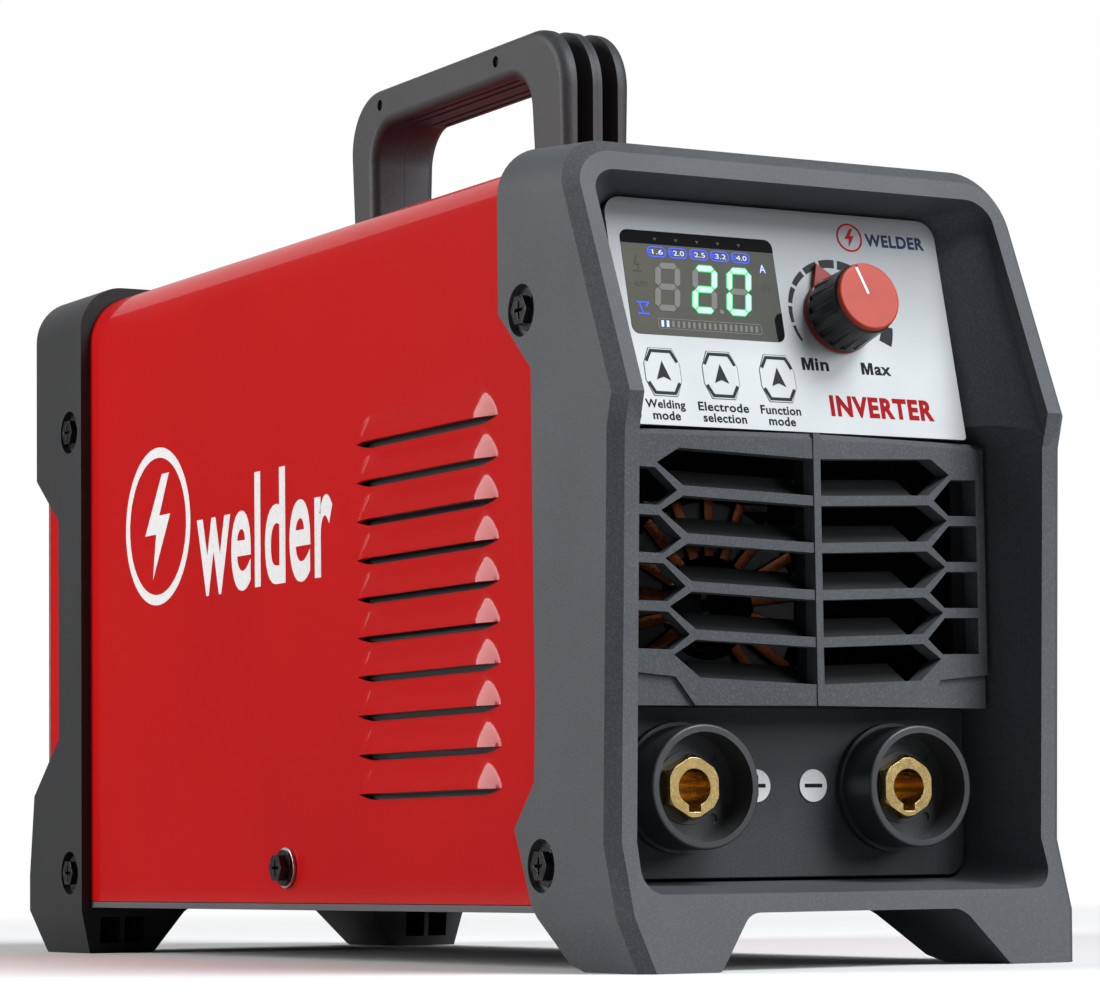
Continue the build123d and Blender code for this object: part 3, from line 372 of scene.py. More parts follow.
# how far each node's edges are rounded over, and in how many steps
edgeRounding = {
    "front_frame": (0.9, 3), "rear_frame": (0.9, 3), "handle_left": (0.55, 3), "handle_right": (0.55, 3),
    "front_grille": (0.3, 2), "connector_panel": (0.3, 2), "socket_body_left": (0.35, 3),
    "socket_body_right": (0.35, 3), "socket_contact_left": (0.25, 2), "socket_contact_right": (0.25, 2),
    "knob_body": (0.2, 2), "knob_cap": (0.15, 2), "knob_skirt": (0.2, 2), "knob_line": (0.05, 1),
    "front_frame_screws": (0.16, 2), "rear_frame_screws": (0.16, 2), "cover_screws": (0.16, 2),
    "cover_washers": (0.15, 2), "polarity_labels": (0.08, 1), "panel_overlay": (0.1, 1), "key_1": (0.1, 1),
    "key_2": (0.1, 1), "key_3": (0.1, 1), "display_window": (0.1, 1), "base_tray": (0.2, 1),
    "handle_screws": (0.15, 1), "rear_panel": (0.25, 1), "fan_frame": (0.4, 2), "fan_rotor": (0.3, 2),
    "fan_guard": (0.35, 2), "fan_screws": (0.16, 1), "power_switch": (0.35, 2), "power_rocker": (0.35, 2),
    "cable_gland": (0.3, 2), "earth_stud": (0.12, 1), "earth_nut": (0.2, 1), "heatsink_left": (0.15, 1),
    "heatsink_right": (0.15, 1), "transformer_core": (0.3, 1), "transformer_winding": (0.8, 2),
    "choke_core": (0.4, 2), "choke_winding": (0.3, 1), "capacitors": (0.4, 2),
}


# nodes whose finish differs a little from their slot's: the handle halves and the connector panel get a darker
# copy of the frame plastic as painted shade, the knob skirt a darker red
ownFinish = {
    "handle_left": "shaded_frame_plastic", "handle_right": "shaded_frame_plastic", "connector_panel": "shaded_frame_plastic",
    "knob_skirt": "skirt_red",
}


def refineNode(node, rounding, steps):
    # the node's own faces joined up, flat regions made one face, and the edges rounded over
    shape = bmesh.new()
    shape.from_mesh(cadNodes[node].data)
    bmesh.ops.remove_doubles(shape, verts=shape.verts, dist=refining["weld"] * mm)
    flatAngle = math.radians(refining["flatAngle"])
    bmesh.ops.dissolve_limit(shape, angle_limit=flatAngle, verts=shape.verts, edges=shape.edges)
    smoothFaces(shape)
    piece = meshPiece(node + "_form", shape)
    bevel = piece.modifiers.new("rounding", "BEVEL")
    bevel.width = rounding * mm
    bevel.segments = steps
    bevel.limit_method = "ANGLE"
    bevel.angle_limit = math.radians(refining["crispAngle"])
    flatten = piece.modifiers.new("flatFaces", "WEIGHTED_NORMAL")
    flatten.keep_sharp = True
    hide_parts(node)
    finish = finishes[ownFinish.get(node, slotOfNode[node])]
    return finishPiece(piece, finish, bodyOfNode[node])


pieces = {}
for node, (rounding, steps) in edgeRounding.items():
    pieces[node] = refineNode(node, rounding, steps)


def paintGrilleShade(piece, deeper=4.2, slope=6.3):
    # painted shade: faces deeper than the grille's face get a near-black finish, standing in for the shade inside
    # the recess
    low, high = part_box("front_grille")
    piece.data.materials.append(finishes["grille_depth"])
    for face in piece.data.polygons:
        front = low.y + abs(face.center.x) * math.tan(math.radians(slope))
        if face.center.y - front > deeper * mm:
            face.material_index = 1


paintGrilleShade(pieces["front_grille"])
for node, thing in cadNodes.items():
    thing.data.materials.clear()
    thing.data.materials.append(finishes[slotOfNode[node]])
print("nodes refined:", len(pieces))


# the cover: one bent sheet with formed louvres
cover = {
    "wall": 1.2, "corner": 15.0, "cornerSteps": 14,
    "louvreCount": 10, "louvreStart": 27.0, "louvreEnd": 106.0, "topLip": 122.5, "pitch": 10.4,
    "high": 8.2, "out": 2.5, "slot": 1.6, "endRun": 10.0, "rowsPerLouvre": 11, "endColumns": 14,
    "endEase": 1.7, "endHigh": 0.8, "fullness": 1.3, "crispAngle": 35,
    "frontColumns": (0.0, 9.0, 18.0), "middleColumns": 8, "rearColumns": 14,
    "footRows": (0.0, 6.0, 12.0), "topRows": 6,
}
# painted shade: the cover's inner faces are near-black red, standing in for the shade inside the case
innerPrimer = {"dark": (0.02, 0.004, 0.004), "light": (0.03, 0.006, 0.006), "rough": (0.5, 0.7)}


def louvreSwell(y):
    # 0 beyond a louvre's ends, 1 along its middle, round between
    along = min(y - cover["louvreStart"], cover["louvreEnd"] - y)
    share = min(max(along, 0.0) / cover["endRun"], 1.0)
    return 1 - (1 - share) ** cover["endEase"]


def louvreStand(y, z):
    # how far the sheet stands out at a place on the side, above its own lip
    swell = louvreSwell(y)
    if swell <= 0:
        return 0.0
    high = cover["high"] * swell ** cover["endHigh"]
    for index in range(cover["louvreCount"]):
        rise = z - (cover["topLip"] - index * cover["pitch"])
        if -0.001 <= rise < high:
            return cover["out"] * swell * math.sin(math.pi / 2 * (1 - rise / high)) ** cover["fullness"]
    return 0.0


def coverColumns(length):
    # places along the cover's length, close together at the louvres' ends
    ends, middles, rears = cover["endColumns"], cover["middleColumns"], cover["rearColumns"]
    run = cover["endRun"]
    frontEnd = [cover["louvreStart"] + run * (step / ends) ** 1.5 for step in range(ends + 1)]
    rearEnd = [cover["louvreEnd"] - run * (step / ends) ** 1.5 for step in range(ends, -1, -1)]
    middle = [frontEnd[-1] + (rearEnd[0] - frontEnd[-1]) * step / middles for step in range(1, middles)]
    columns = [*cover["frontColumns"], cover["louvreStart"] - 0.5] + frontEnd + middle + rearEnd
    columns.append(cover["louvreEnd"] + 0.5)
    left = length - cover["louvreEnd"]
    return columns + [cover["louvreEnd"] + left * step / rears for step in range(1, rears + 1)]


def coverSideRows(top):
    # (height, stands out here): each lip has two rows, one flush and one on the lip
    lips = [cover["topLip"] - index * cover["pitch"] for index in range(cover["louvreCount"])]
    rows = [(height, False) for height in cover["footRows"]]
    for lip in reversed(lips):
        rows.append((lip, False))
        for step in range(cover["rowsPerLouvre"]):
            rows.append((lip + cover["high"] * step / (cover["rowsPerLouvre"] - 1), True))
    start = rows[-1][0]
    steps = cover["topRows"]
    return rows + [(start + (top - start) * step / steps, False) for step in range(1, steps + 1)]


def isSlotEdge(height, stands):
    lips = [cover["topLip"] - index * cover["pitch"] for index in range(cover["louvreCount"])]
    return not stands and any(abs(height - lip) < 0.01 for lip in lips)


def makeCover():
    low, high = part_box("cover")
    half = high.x / mm - cover["out"]
    length = (high.y - low.y) / mm
    tall = (high.z - low.z) / mm
    columns = coverColumns(length)
    shape = bmesh.new()
    rings = []
    for height, stands in coverSideRows(tall - cover["corner"]):
        ring = []
        for y in columns:
            out = louvreStand(y, height) if stands else 0.0
            drop = cover["slot"] * louvreSwell(y) if isSlotEdge(height, stands) else 0.0
            ring.append(((half + out) * mm, low.y + y * mm, low.z + (height - drop) * mm))
        rings.append((height, ring))
    centreX, centreZ = half - cover["corner"], tall - cover["corner"]
    for step in range(1, cover["cornerSteps"] + 1):
        turn = math.pi / 2 * step / cover["cornerSteps"]
        x = centreX + cover["corner"] * math.cos(turn)
        z = centreZ + cover["corner"] * math.sin(turn)
        rings.append((z, [(x * mm, low.y + y * mm, low.z + z * mm) for y in columns]))
    rings.append((tall, [(0.0, low.y + y * mm, low.z + tall * mm) for y in columns]))
    for side in (1, -1):
        grid = [[shape.verts.new((x * side, y, z)) for x, y, z in ring] for height, ring in rings]
        for lower, upper, (z0, a), (z1, b) in zip(grid, grid[1:], rings, rings[1:]):
            if z0 == z1 and z0 < tall - cover["corner"]:
                continue  # the open slot under a lip
            for index in range(len(columns) - 1):
                corners = [lower[index], lower[index + 1], upper[index + 1], upper[index]]
                shape.faces.new(corners if side > 0 else corners[::-1])
    bmesh.ops.remove_doubles(shape, verts=shape.verts, dist=0.001 * mm)
    smoothFaces(shape)
    piece = meshPiece("cover_form", shape)
    piece.data.materials.append(finishes["cover_paint"])
    piece.data.materials.append(None)
    wall = piece.modifiers.new("sheetThickness", "SOLIDIFY")
    wall.thickness = cover["wall"] * mm
    wall.offset = -1
    wall.use_even_offset = False
    wall.material_offset = 1
    settlePiece(piece, cover["crispAngle"])
    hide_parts("cover")
    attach(piece, "root")
    piece.data.materials[0] = finishes["cover_paint"]
    piece.data.materials[1] = blotchedFinish("innerPrimer", innerPrimer)


# painted shade: black sheets that stand just inside the louvres, so the slots under the lips look dark as shade
liner = {"inside": 2.3, "thick": 0.4, "from": (25.0, 24.0), "to": (114.0, 134.0), "ribs": 12, "ribDeep": 0.5}


def makeSlotShadeSheets():
    low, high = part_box("cover")
    half = high.x - cover["out"] * mm - liner["inside"] * mm
    (y0, z0), (y1, z1) = liner["from"], liner["to"]
    for side, name in ((-1, "left"), (1, "right")):
        shape = bmesh.new()
        rows = []
        for step in range(liner["ribs"] * 2 + 1):
            z = low.z + (z0 + (z1 - z0) * step / (liner["ribs"] * 2)) * mm
            x = side * (half - (step % 2) * liner["ribDeep"] * mm)
            rows.append([shape.verts.new((x, low.y + y * mm, z)) for y in (y0, (y0 + y1) / 2, y1)])
        for lower, upper in zip(rows, rows[1:]):
            for index in range(2):
                shape.faces.new((lower[index], lower[index + 1], upper[index + 1], upper[index]))
        bmesh.ops.recalc_face_normals(shape, faces=shape.faces)
        piece = meshPiece("liner_" + name, shape)
        wall = piece.modifiers.new("shadeSheetThickness", "SOLIDIFY")
        wall.thickness = liner["thick"] * mm
        finishPiece(piece, finishes["switch_black"], "root")


makeCover()
makeSlotShadeSheets()
print("cover made")


# flat prints
panelAxis = Vector(joints["knob_turn"]["axis"])
panelSpot = Vector(joints["knob_turn"]["pos_m"])
panelPrint = {
    "knobAcross": 15.2, "knobUp": 31.5, "thick": 0.05, "lift": 0.03, "keyTop": 0.12, "glassTop": 0.02,
}


def panelMatrix(out=0.0):
    # x across, y up the panel from its lower edge, z outward
    across = Vector((1, 0, 0))
    up = panelAxis.cross(across)
    origin = panelSpot - across * panelPrint["knobAcross"] * mm - up * panelPrint["knobUp"] * mm
    origin = origin + panelAxis * out * mm
    return Matrix((across, up, panelAxis)).transposed().to_4x4(), origin


def stampMatrix(out=panelPrint["lift"]):
    turn, origin = panelMatrix(out)
    return Matrix.Translation(origin) @ turn


def stamp(name, outlines, place, ink, body="root"):
    # an outline is a loop of points in millimetres, or an outer and an inner loop of as many points
    deep = panelPrint["thick"] * mm
    shape = bmesh.new()
    for outline in outlines:
        ring = len(outline) == 2 and len(outline[0]) > 2
        loops = outline if ring else [outline]
        levels = []
        for loop in loops:
            levels.append([[shape.verts.new((x * mm, y * mm, z)) for x, y in loop] for z in (0, deep)])
        if ring:
            (outerLow, outerHigh), (innerLow, innerHigh) = levels
            for index in range(len(outerLow)):
                after = (index + 1) % len(outerLow)
                shape.faces.new((outerHigh[index], outerHigh[after], innerHigh[after], innerHigh[index]))
                shape.faces.new((innerLow[index], innerLow[after], outerLow[after], outerLow[index]))
        else:
            shape.faces.new(levels[0][1])
            shape.faces.new(levels[0][0][::-1])
        for low, high in levels:
            for index in range(len(low)):
                after = (index + 1) % len(low)
                shape.faces.new((low[index], low[after], high[after], high[index]))
    bmesh.ops.recalc_face_normals(shape, faces=shape.faces)
    shape.transform(place)
    return finishPiece(meshPiece(name, shape), inks[ink], body)


def word(name, text, place, ink, low, high, left, right, slot="panel_foil", weight=0.0):
    # the word is scaled to stand from low to high and from left to right
    curve = bpy.data.curves.new(name, "FONT")
    curve.body = text
    curve.offset = weight
    curve.space_character = 1 + 3 * weight
    curve.resolution_u = 6

    def fit(mesh):
        xs = [vertex.co.x for vertex in mesh.vertices]
        ys = [vertex.co.y for vertex in mesh.vertices]
        wide = (right - left) * mm / (max(xs) - min(xs))
        tall = (high - low) * mm / (max(ys) - min(ys))
        size = Matrix.Diagonal((wide, tall, panelPrint["thick"] * mm, 1))
        return Matrix.Translation((left * mm - min(xs) * wide, low * mm - min(ys) * tall, 0)) @ size

    curve.extrude = 0.5
    holder = bpy.data.objects.new(name + "_curve", curve)
    bpy.context.scene.collection.objects.link(holder)
    bpy.context.view_layer.update()
    evaluated = holder.evaluated_get(bpy.context.evaluated_depsgraph_get())
    mesh = bpy.data.meshes.new_from_object(evaluated)
    bpy.data.objects.remove(holder)
    mesh.transform(place @ fit(mesh))
    shape = bmesh.new()
    shape.from_mesh(mesh)
    bmesh.ops.remove_doubles(shape, verts=shape.verts, dist=0.0005 * mm)
    bpy.data.meshes.remove(mesh)
    return finishPiece(meshPiece(name, shape), inks[ink], "root")


def circleLoop(x, y, radius, steps=40):
    turns = [math.tau * step / steps for step in range(steps)]
    return [(x + radius * math.cos(turn), y + radius * math.sin(turn)) for turn in turns]


def roundedBox(left, right, low, high, radius, steps=5):
    loop = []
    for x, y, start in ((right, high, 0), (left, high, 1), (left, low, 2), (right, low, 3)):
        centreX = x - radius if x == right else x + radius
        centreY = y - radius if y == high else y + radius
        for step in range(steps + 1):
            turn = math.pi / 2 * (start + step / steps)
            loop.append((centreX + radius * math.cos(turn), centreY + radius * math.sin(turn)))
    return loop


def strokeLoop(points, wide):
    # an open line given a width, with mitred corners
    def side(sign):
        edge = []
        for index, point in enumerate(points):
            here = Vector(point)
            before = (here - Vector(points[index - 1])).normalized() if index else None
            after = (Vector(points[index + 1]) - here).normalized() if index < len(points) - 1 else None
            along = (before or after) if None in (before, after) else (before + after).normalized()
            across = Vector((-along.y, along.x))
            square = Vector((-(before or after).y, (before or after).x))
            edge.append(tuple(here + across * sign * wide / 2 / max(across.dot(square), 0.4)))
        return edge

    return side(1) + side(-1)[::-1]


# the dial round the knob
dial = {
    "inner": 13.3, "thinOuter": 13.9, "thickOuter": 17.1, "from": 211.0, "sweep": 240.0,
    "dashes": 11, "dashSteps": 8, "gap": 4.0, "capital": 3.5, "stroke": 0.8, "smallHigh": 0.74,
    "words": (("in", 16.6, 19.9, 2.4, 10.4), ("ax", 16.3, 19.5, 20.3, 29.3)),
}


def capitalM(left, low, wide, high, stroke):
    # the outline of an M, from its left foot round and back along its inside
    shoulder = 1.35 * stroke
    half = [(0, 0), (0, high), (shoulder, high), (wide / 2, 0.38 * high)]
    inner = [(wide / 2 - 0.4 * stroke, 0), (stroke, 0.70 * high), (stroke, 0)]
    outline = half + [(wide - x, y) for x, y in half[-2::-1]]
    outline += [(wide - x, y) for x, y in inner[::-1]] + inner
    return [(left + x, low + y) for x, y in outline]


def makeDial():
    centreX, centreY = panelPrint["knobAcross"], panelPrint["knobUp"]
    pitch = dial["sweep"] / dial["dashes"]
    loops = []
    for index in range(dial["dashes"]):
        steps = dial["dashSteps"]
        turns = [index * pitch + (pitch - dial["gap"]) * step / steps for step in range(steps + 1)]
        outer, inner = [], []
        for turn in turns:
            share = turn / dial["sweep"]
            radius = dial["thinOuter"] + (dial["thickOuter"] - dial["thinOuter"]) * share
            angle = math.radians(dial["from"] - turn)
            for loop, r in ((outer, radius), (inner, dial["inner"])):
                loop.append((centreX + r * math.cos(angle), centreY + r * math.sin(angle)))
        loops.append(outer + inner[::-1])
    stamp("dial_ring", loops, stampMatrix(), "grey")
    for text, low, high, left, right in dial["words"]:
        capital = capitalM(left, low, dial["capital"], high - low, dial["stroke"])
        stamp("dial_m" + text + "_capital", [capital], stampMatrix(), "black")
        start = left + dial["capital"] + 0.5
        rise = (high - low) * (1 if "i" in text else dial["smallHigh"])
        word("dial_m" + text, text, stampMatrix(), "black", low, low + rise, start, right, weight=0.03)


makeDial()

# the three keys: brackets, arrow and their two-line names
keyPrint = {
    "names": (("Welding", "mode"), ("Electrode", "selection"), ("Function", "mode")),
    "widths": ((11.4, 7.9), (14.7, 12.6), (11.9, 7.9)),
    "lines": (4.25, 1.35), "letterHigh": 2.35, "stroke": 0.8,
    "bracketFoot": (4.4, 2.7), "bracketShoulder": (2.85, 5.45), "nameShift": -0.5, "tail": 0.55,
    "arrow": ((0, 2.9), (2.05, -2.1), (0, -1.25), (-2.05, -2.1)),
}


def makeKeys():
    for index, names in enumerate(keyPrint["names"]):
        node = "key_" + str(index + 1)
        low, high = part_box(node)
        middle = (low + high) / 2
        turn, origin = panelMatrix()
        x = middle.x / mm
        y = (middle - origin).dot(panelAxis.cross(Vector((1, 0, 0)))) / mm
        foot, shoulder = keyPrint["bracketFoot"], keyPrint["bracketShoulder"]
        brackets = []
        for sign in (1, -1):
            points = [(-foot[0], foot[1]), (-shoulder[0], shoulder[1]), shoulder, foot]
            brackets.append(strokeLoop([(x + px, y + sign * py) for px, py in points], keyPrint["stroke"]))
        arrow = [(x + px, y + py) for px, py in keyPrint["arrow"]]
        place = stampMatrix(panelPrint["keyTop"] + panelPrint["lift"])
        stamp("key_print_" + str(index + 1), brackets + [arrow], place, "grey", bodyOfNode[node])
        for text, base, wide in zip(names, keyPrint["lines"], keyPrint["widths"][index]):
            tail = keyPrint["tail"] if "g" in text else 0.0
            left = x + keyPrint["nameShift"] - wide / 2
            name = "key_name_" + str(index + 1) + "_" + text.lower()
            top = base + keyPrint["letterHigh"]
            word(name, text, stampMatrix(), "black", base - tail, top, left, left + wide, weight=0.024)


makeKeys()

# the plain words and pictogram that stand where a maker puts its name
titles = {
    "panelWord": ("INVERTER", 4.6, 10.2, 9.1, 40.6),
    "panelMaker": ("WELDER", 51.6, 55.0, 27.6, 45.8), "panelRoundel": (22.8, 53.6, 3.9),
    "sideWord": ("welder", 104.0, 137.0, 151.5, 240.0), "sideRoundel": (268.0, 127.0, 23.5),
    "ring": 0.13, "boltShare": 0.84, "rimToTip": 9.7, "rightShift": 20,
}
bolt = (
    (0.16, 0.78), (-0.46, -0.12), (-0.06, -0.12), (-0.18, -0.80), (0.46, 0.16), (0.06, 0.16), (0.42, 0.78),
)


def roundelLoops(x, y, radius):
    ring = (circleLoop(x, y, radius, 64), circleLoop(x, y, radius * (1 - titles["ring"]), 64))
    size = radius * titles["boltShare"]
    return [ring, [(x + px * size, y + py * size) for px, py in bolt]]


def makePanelTitles():
    text, low, high, left, right = titles["panelWord"]
    word("panel_word", text, stampMatrix(), "red", low, high, left, right, weight=0.045)
    text, low, high, left, right = titles["panelMaker"]
    word("panel_title", text, stampMatrix(), "navy", low, high, left, right, weight=0.035)
    stamp("panel_roundel", roundelLoops(*titles["panelRoundel"]), stampMatrix(), "red")


def makeSideTitles():
    low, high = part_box("cover")
    half = high.x - (cover["out"] - panelPrint["lift"]) * mm
    front = cadLow.y + titles["rimToTip"] * mm
    for side, name in ((-1, "left"), (1, "right")):
        # seen from its own side, x runs to the viewer's right and y up
        across = Vector((0, side, 0))
        turn = Matrix((across, Vector((0, 0, 1)), Vector((side, 0, 0)))).transposed().to_4x4()
        place = Matrix.Translation((side * half, front, 0)) @ turn
        text, base, top, near, far = titles["sideWord"]
        y, z, radius = titles["sideRoundel"]
        if side < 0:
            left, right, centre = -far, -near, -y
        else:
            shift = near + y + titles["rightShift"]
            left, right, centre = shift - far, shift - near, shift - y
        spot = (base, top, left, right)
        word("side_word_" + name, text, place, "white", *spot, slot="mark_white", weight=0.02)
        stamp("side_roundel_" + name, roundelLoops(centre, z, radius), place, "white")


makePanelTitles()
makeSideTitles()
print("prints made")

# the picture on the display
display = {
    "slant": 0.154, "middle": 36.4, "digitLow": 29.9, "digitHigh": 42.9, "digitWide": 7.4, "stroke": 1.8,
    "digitCentres": (-34.3, -23.5, -13.45), "lit": ((), (0, 1, 6, 4, 3), (0, 1, 2, 3, 4, 5)),
    "segmentSpace": 0.22, "segmentTip": 0.9, "segmentTrim": 0.08, "rim": 0.16, "light": -0.12,
    "point": (-18.5, 30.7), "pointRadius": 0.65,
    "glass": (-46.2, -1.5, 23.6, 51.1), "corner": 2.2, "bandLow": 47.6,
    "marks": (48.5, 49.3), "markHalf": 0.55,
    "pillLow": 44.2, "pillHigh": 47.0, "pillStart": -38.9, "pillPitch": 6.15, "pillWide": 5.4,
    "pillNumbers": ("1.6", "2.0", "2.5", "3.2", "4.0"), "pillRound": 1.2, "pillLine": 0.25, "dot": 0.95,
    "barLeft": -38.6, "barRight": -8.2, "barLow": 25.2, "barHigh": 28.0, "barRound": 0.8, "barLine": 0.18,
    "ticks": 19, "ticksLit": 2, "tickFirst": 0.95, "tickWide": 0.7, "tickLean": 0.15, "tickInset": 0.55,
    "layers": {"glass": 0.03, "band": 0.06, "signs": 0.1, "lights": 0.16},
}


def slanted(x, y):
    return x + display["slant"] * (y - display["middle"]), y


def segmentLoops(centre, numbers, grow=0.0):
    # the segments of one digit: 0 top, 1 and 2 right, 3 bottom, 4 and 5 left, 6 middle
    half = display["digitWide"] / 2 - display["stroke"] / 2
    thick = display["stroke"] / 2
    top, low = display["digitHigh"] - thick, display["digitLow"] + thick
    middle = (top + low) / 2
    space = display["segmentSpace"] - grow
    ends = (
        ((-half, top), (half, top)), ((half, top), (half, middle)), ((half, middle), (half, low)),
        ((-half, low), (half, low)), ((-half, middle), (-half, low)), ((-half, top), (-half, middle)),
        ((-half, middle), (half, middle)),
    )
    loops = []
    for number in numbers:
        a, b = (Vector(end) for end in ends[number])
        along = (b - a).normalized()
        across = Vector((-along.y, along.x))
        a, b = a + along * space, b - along * space
        wide = thick + grow - display["segmentTrim"]
        run = wide * display["segmentTip"]
        points = (a, a + along * run + across * wide, b - along * run + across * wide, b,
                  b - along * run - across * wide, a + along * run - across * wide)
        loops.append([slanted(centre + point.x, point.y) for point in points])
    return loops


def glassFinish():
    # the panel of the display: olive grey, darker towards its right, with a soft lighter mottle
    finish, tree, shader = newFinish("displayGlass")
    place = tree.nodes.new("ShaderNodeTexCoord")
    split = tree.nodes.new("ShaderNodeSeparateXYZ")
    tree.links.new(place.outputs["Object"], split.inputs[0])
    shade = addRange(tree, split.outputs["X"], 0, 1, display["glass"][0] * mm, display["glass"][1] * mm)
    sweep = addMix(tree, shade, (0.070, 0.068, 0.048), (0.052, 0.054, 0.046))
    mottle = addRange(tree, addNoise(tree, 7, 2), 0, 0.25)
    tree.links.new(addMix(tree, mottle, sweep, (0.10, 0.10, 0.078)), shader.inputs["Base Color"])
    shader.inputs["Roughness"].default_value = 0.45
    shader.inputs["Specular IOR Level"].default_value = 0.12
    return finish


def makeDisplay():
    left, right, low, high = display["glass"]
    slot = "window_black"
    layers = {name: stampMatrix(panelPrint["glassTop"] + lift) for name, lift in display["layers"].items()}
    above = layers["signs"]
    inks["glass"] = glassFinish()
    glass = roundedBox(left, right, low, high, display["corner"])
    stamp("display_glass", [glass], layers["glass"], "glass")
    band = [(x, max(y, display["bandLow"])) for x, y in glass]
    stamp("display_band", [band], layers["band"], "band")
    corner = [(right, 31.5), (right - 1.6, 31.0), (right - 2.4, 29.6), (right - 2.4, 26.0)]
    corner += [(right - 2.2, low), (right - 1.1, low + 0.3), (right - 0.3, low + 1.1), (right, low + 2.2)]
    stamp("display_corner", [corner], layers["band"], "band")
    first, pitch = display["pillStart"], display["pillPitch"]
    starts = [first + pitch * index for index in range(len(display["pillNumbers"]))]
    marks = []
    for start in starts:
        x = start + display["pillWide"] / 2
        tip, top = display["marks"]
        marks.append([(x - display["markHalf"], top), (x + display["markHalf"], top), (x, tip)])
    stamp("display_arrows", marks, above, "faint")
    digits = list(zip(display["digitCentres"], display["lit"]))
    dark = [loop for centre, lit in digits for loop in segmentLoops(centre, set(range(7)) - set(lit))]
    dark.append(circleLoop(*slanted(*display["point"]), display["pointRadius"], 12))
    stamp("display_ghost", dark, above, "ghost")
    rims = [loop for centre, lit in digits for loop in segmentLoops(centre, lit, display["rim"])]
    stamp("display_rims", rims, above, "litRim")
    lights = [loop for centre, lit in digits for loop in segmentLoops(centre, lit, display["light"])]
    stamp("display_digits", lights, layers["lights"], "litGreen")
    makeDisplayPills(above, slot, starts)
    makeDisplayBar(above)
    makeDisplayIcons(above, slot)


def makeDisplayPills(above, slot, starts):
    # one rounded frame for each electrode size
    low, high = display["pillLow"], display["pillHigh"]
    line, radius = display["pillLine"], display["pillRound"]
    pills = []
    for start, number in zip(starts, display["pillNumbers"]):
        end = start + display["pillWide"]
        inner = roundedBox(start + line, end - line, low + line, high - line, radius - line)
        pills.append((roundedBox(start, end, low, high, radius), inner))
        name = "display_size_" + number.replace(".", "_")
        word(name, number, above, "litPale", low + 0.75, high - 0.75, start + 1.5, end - 0.8, slot=slot)
        centre = (start + display["dot"], (low + high) / 2)
        pills.append((circleLoop(*centre, 0.55, 14), circleLoop(*centre, 0.33, 14)))
    stamp("display_pills", pills, above, "litBlue")


def makeDisplayBar(above):
    left, right = display["barLeft"], display["barRight"]
    low, high = display["barLow"], display["barHigh"]
    line, inset = display["barLine"], display["tickInset"]
    inner = roundedBox(left + line, right - line, low + line, high - line, 0.65)
    outline = [(roundedBox(left, right, low, high, display["barRound"]), inner)]
    pitch = (right - left - 1.4) / display["ticks"]
    ticks = []
    for index in range(display["ticks"]):
        x = left + display["tickFirst"] + pitch * index
        end, lean = x + display["tickWide"], display["tickLean"]
        foot, top = low + inset, high - inset
        ticks.append([(x, foot), (end, foot), (end + lean, top), (x + lean, top)])
    stamp("display_bar", outline + ticks[display["ticksLit"]:], above, "ghost")
    stamp("display_bar_lit", ticks[:display["ticksLit"]], above, "litPale")


def makeDisplayIcons(above, slot):
    # the unit, the chosen process and two that are off
    word("display_unit", "A", above, "litPale", 42.0, 44.2, -6.3, -4.5, slot=slot)
    holder = strokeLoop([(-44.0, 31.9), (-40.6, 31.9), (-41.4, 30.7)], 0.32)
    stem = strokeLoop([(-43.2, 31.7), (-42.5, 29.2)], 0.32)
    plate = strokeLoop([(-43.9, 28.9), (-40.6, 28.9)], 0.36)
    stamp("display_stick", [holder, stem, plate], above, "litBlue")
    tip = strokeLoop([(-42.2, 44.4), (-42.9, 42.0), (-41.6, 42.0), (-42.3, 40.7)], 0.3)
    ground = strokeLoop([(-43.6, 40.2), (-41.0, 40.2)], 0.3)
    stamp("display_arc", [tip, ground], above, "faint")
    word("display_auto", "AUTO", above, "faint", 36.0, 37.5, -43.8, -40.0, slot=slot)
    word("display_function", "F1", above, "faint", 36.8, 38.6, -6.0, -4.2, slot=slot)


makeDisplay()
print("display made")

# polarity signs beside the sockets, and the marks at the rear
signs = {
    "half": 2.6, "thick": 0.95, "lift": 0.02, "earth": (0.0, 52.0), "stem": 0.7, "bar": 0.6, "barPitch": 1.1,
    "barHalves": (2.6, 1.7, 0.8),
}


def makeSigns():
    low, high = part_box("polarity_labels")
    radius = (high.z - low.z) / 2
    z = (low.z + high.z) / 2
    turn = Matrix((Vector((1, 0, 0)), Vector((0, 0, 1)), Vector((0, -1, 0)))).transposed().to_4x4()
    half, thick = signs["half"], signs["thick"] / 2
    for name, x in (("plus", low.x + radius), ("minus", high.x - radius)):
        place = Matrix.Translation((x, low.y - signs["lift"] * mm, z)) @ turn
        loops = [[(-half, -thick), (half, -thick), (half, thick), (-half, thick)]]
        if name == "plus":
            arm = [(-half, -thick), (-thick, -thick), (-thick, -half)]
            lower = arm + [(-x, y) for x, y in arm[::-1]]
            loops = [lower + [(-x, -y) for x, y in lower]]
        stamp("sign_" + name, loops, place, "black")


def makeRearMarks():
    low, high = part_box("rear_panel")
    turn = Matrix((Vector((-1, 0, 0)), Vector((0, 0, 1)), Vector((0, 1, 0)))).transposed().to_4x4()
    place = Matrix.Translation((0, high.y + signs["lift"] * mm, 0)) @ turn
    x, z = signs["earth"]
    lines = [strokeLoop([(x, z + 3.4), (x, z + 0.6)], signs["stem"])]
    for index, half in enumerate(signs["barHalves"]):
        level = z + 0.4 - index * signs["barPitch"]
        lines.append(strokeLoop([(x - half, level), (x + half, level)], signs["bar"]))
    stamp("sign_earth", lines, place, "white")


makeSigns()
makeRearMarks()
print("signs made")

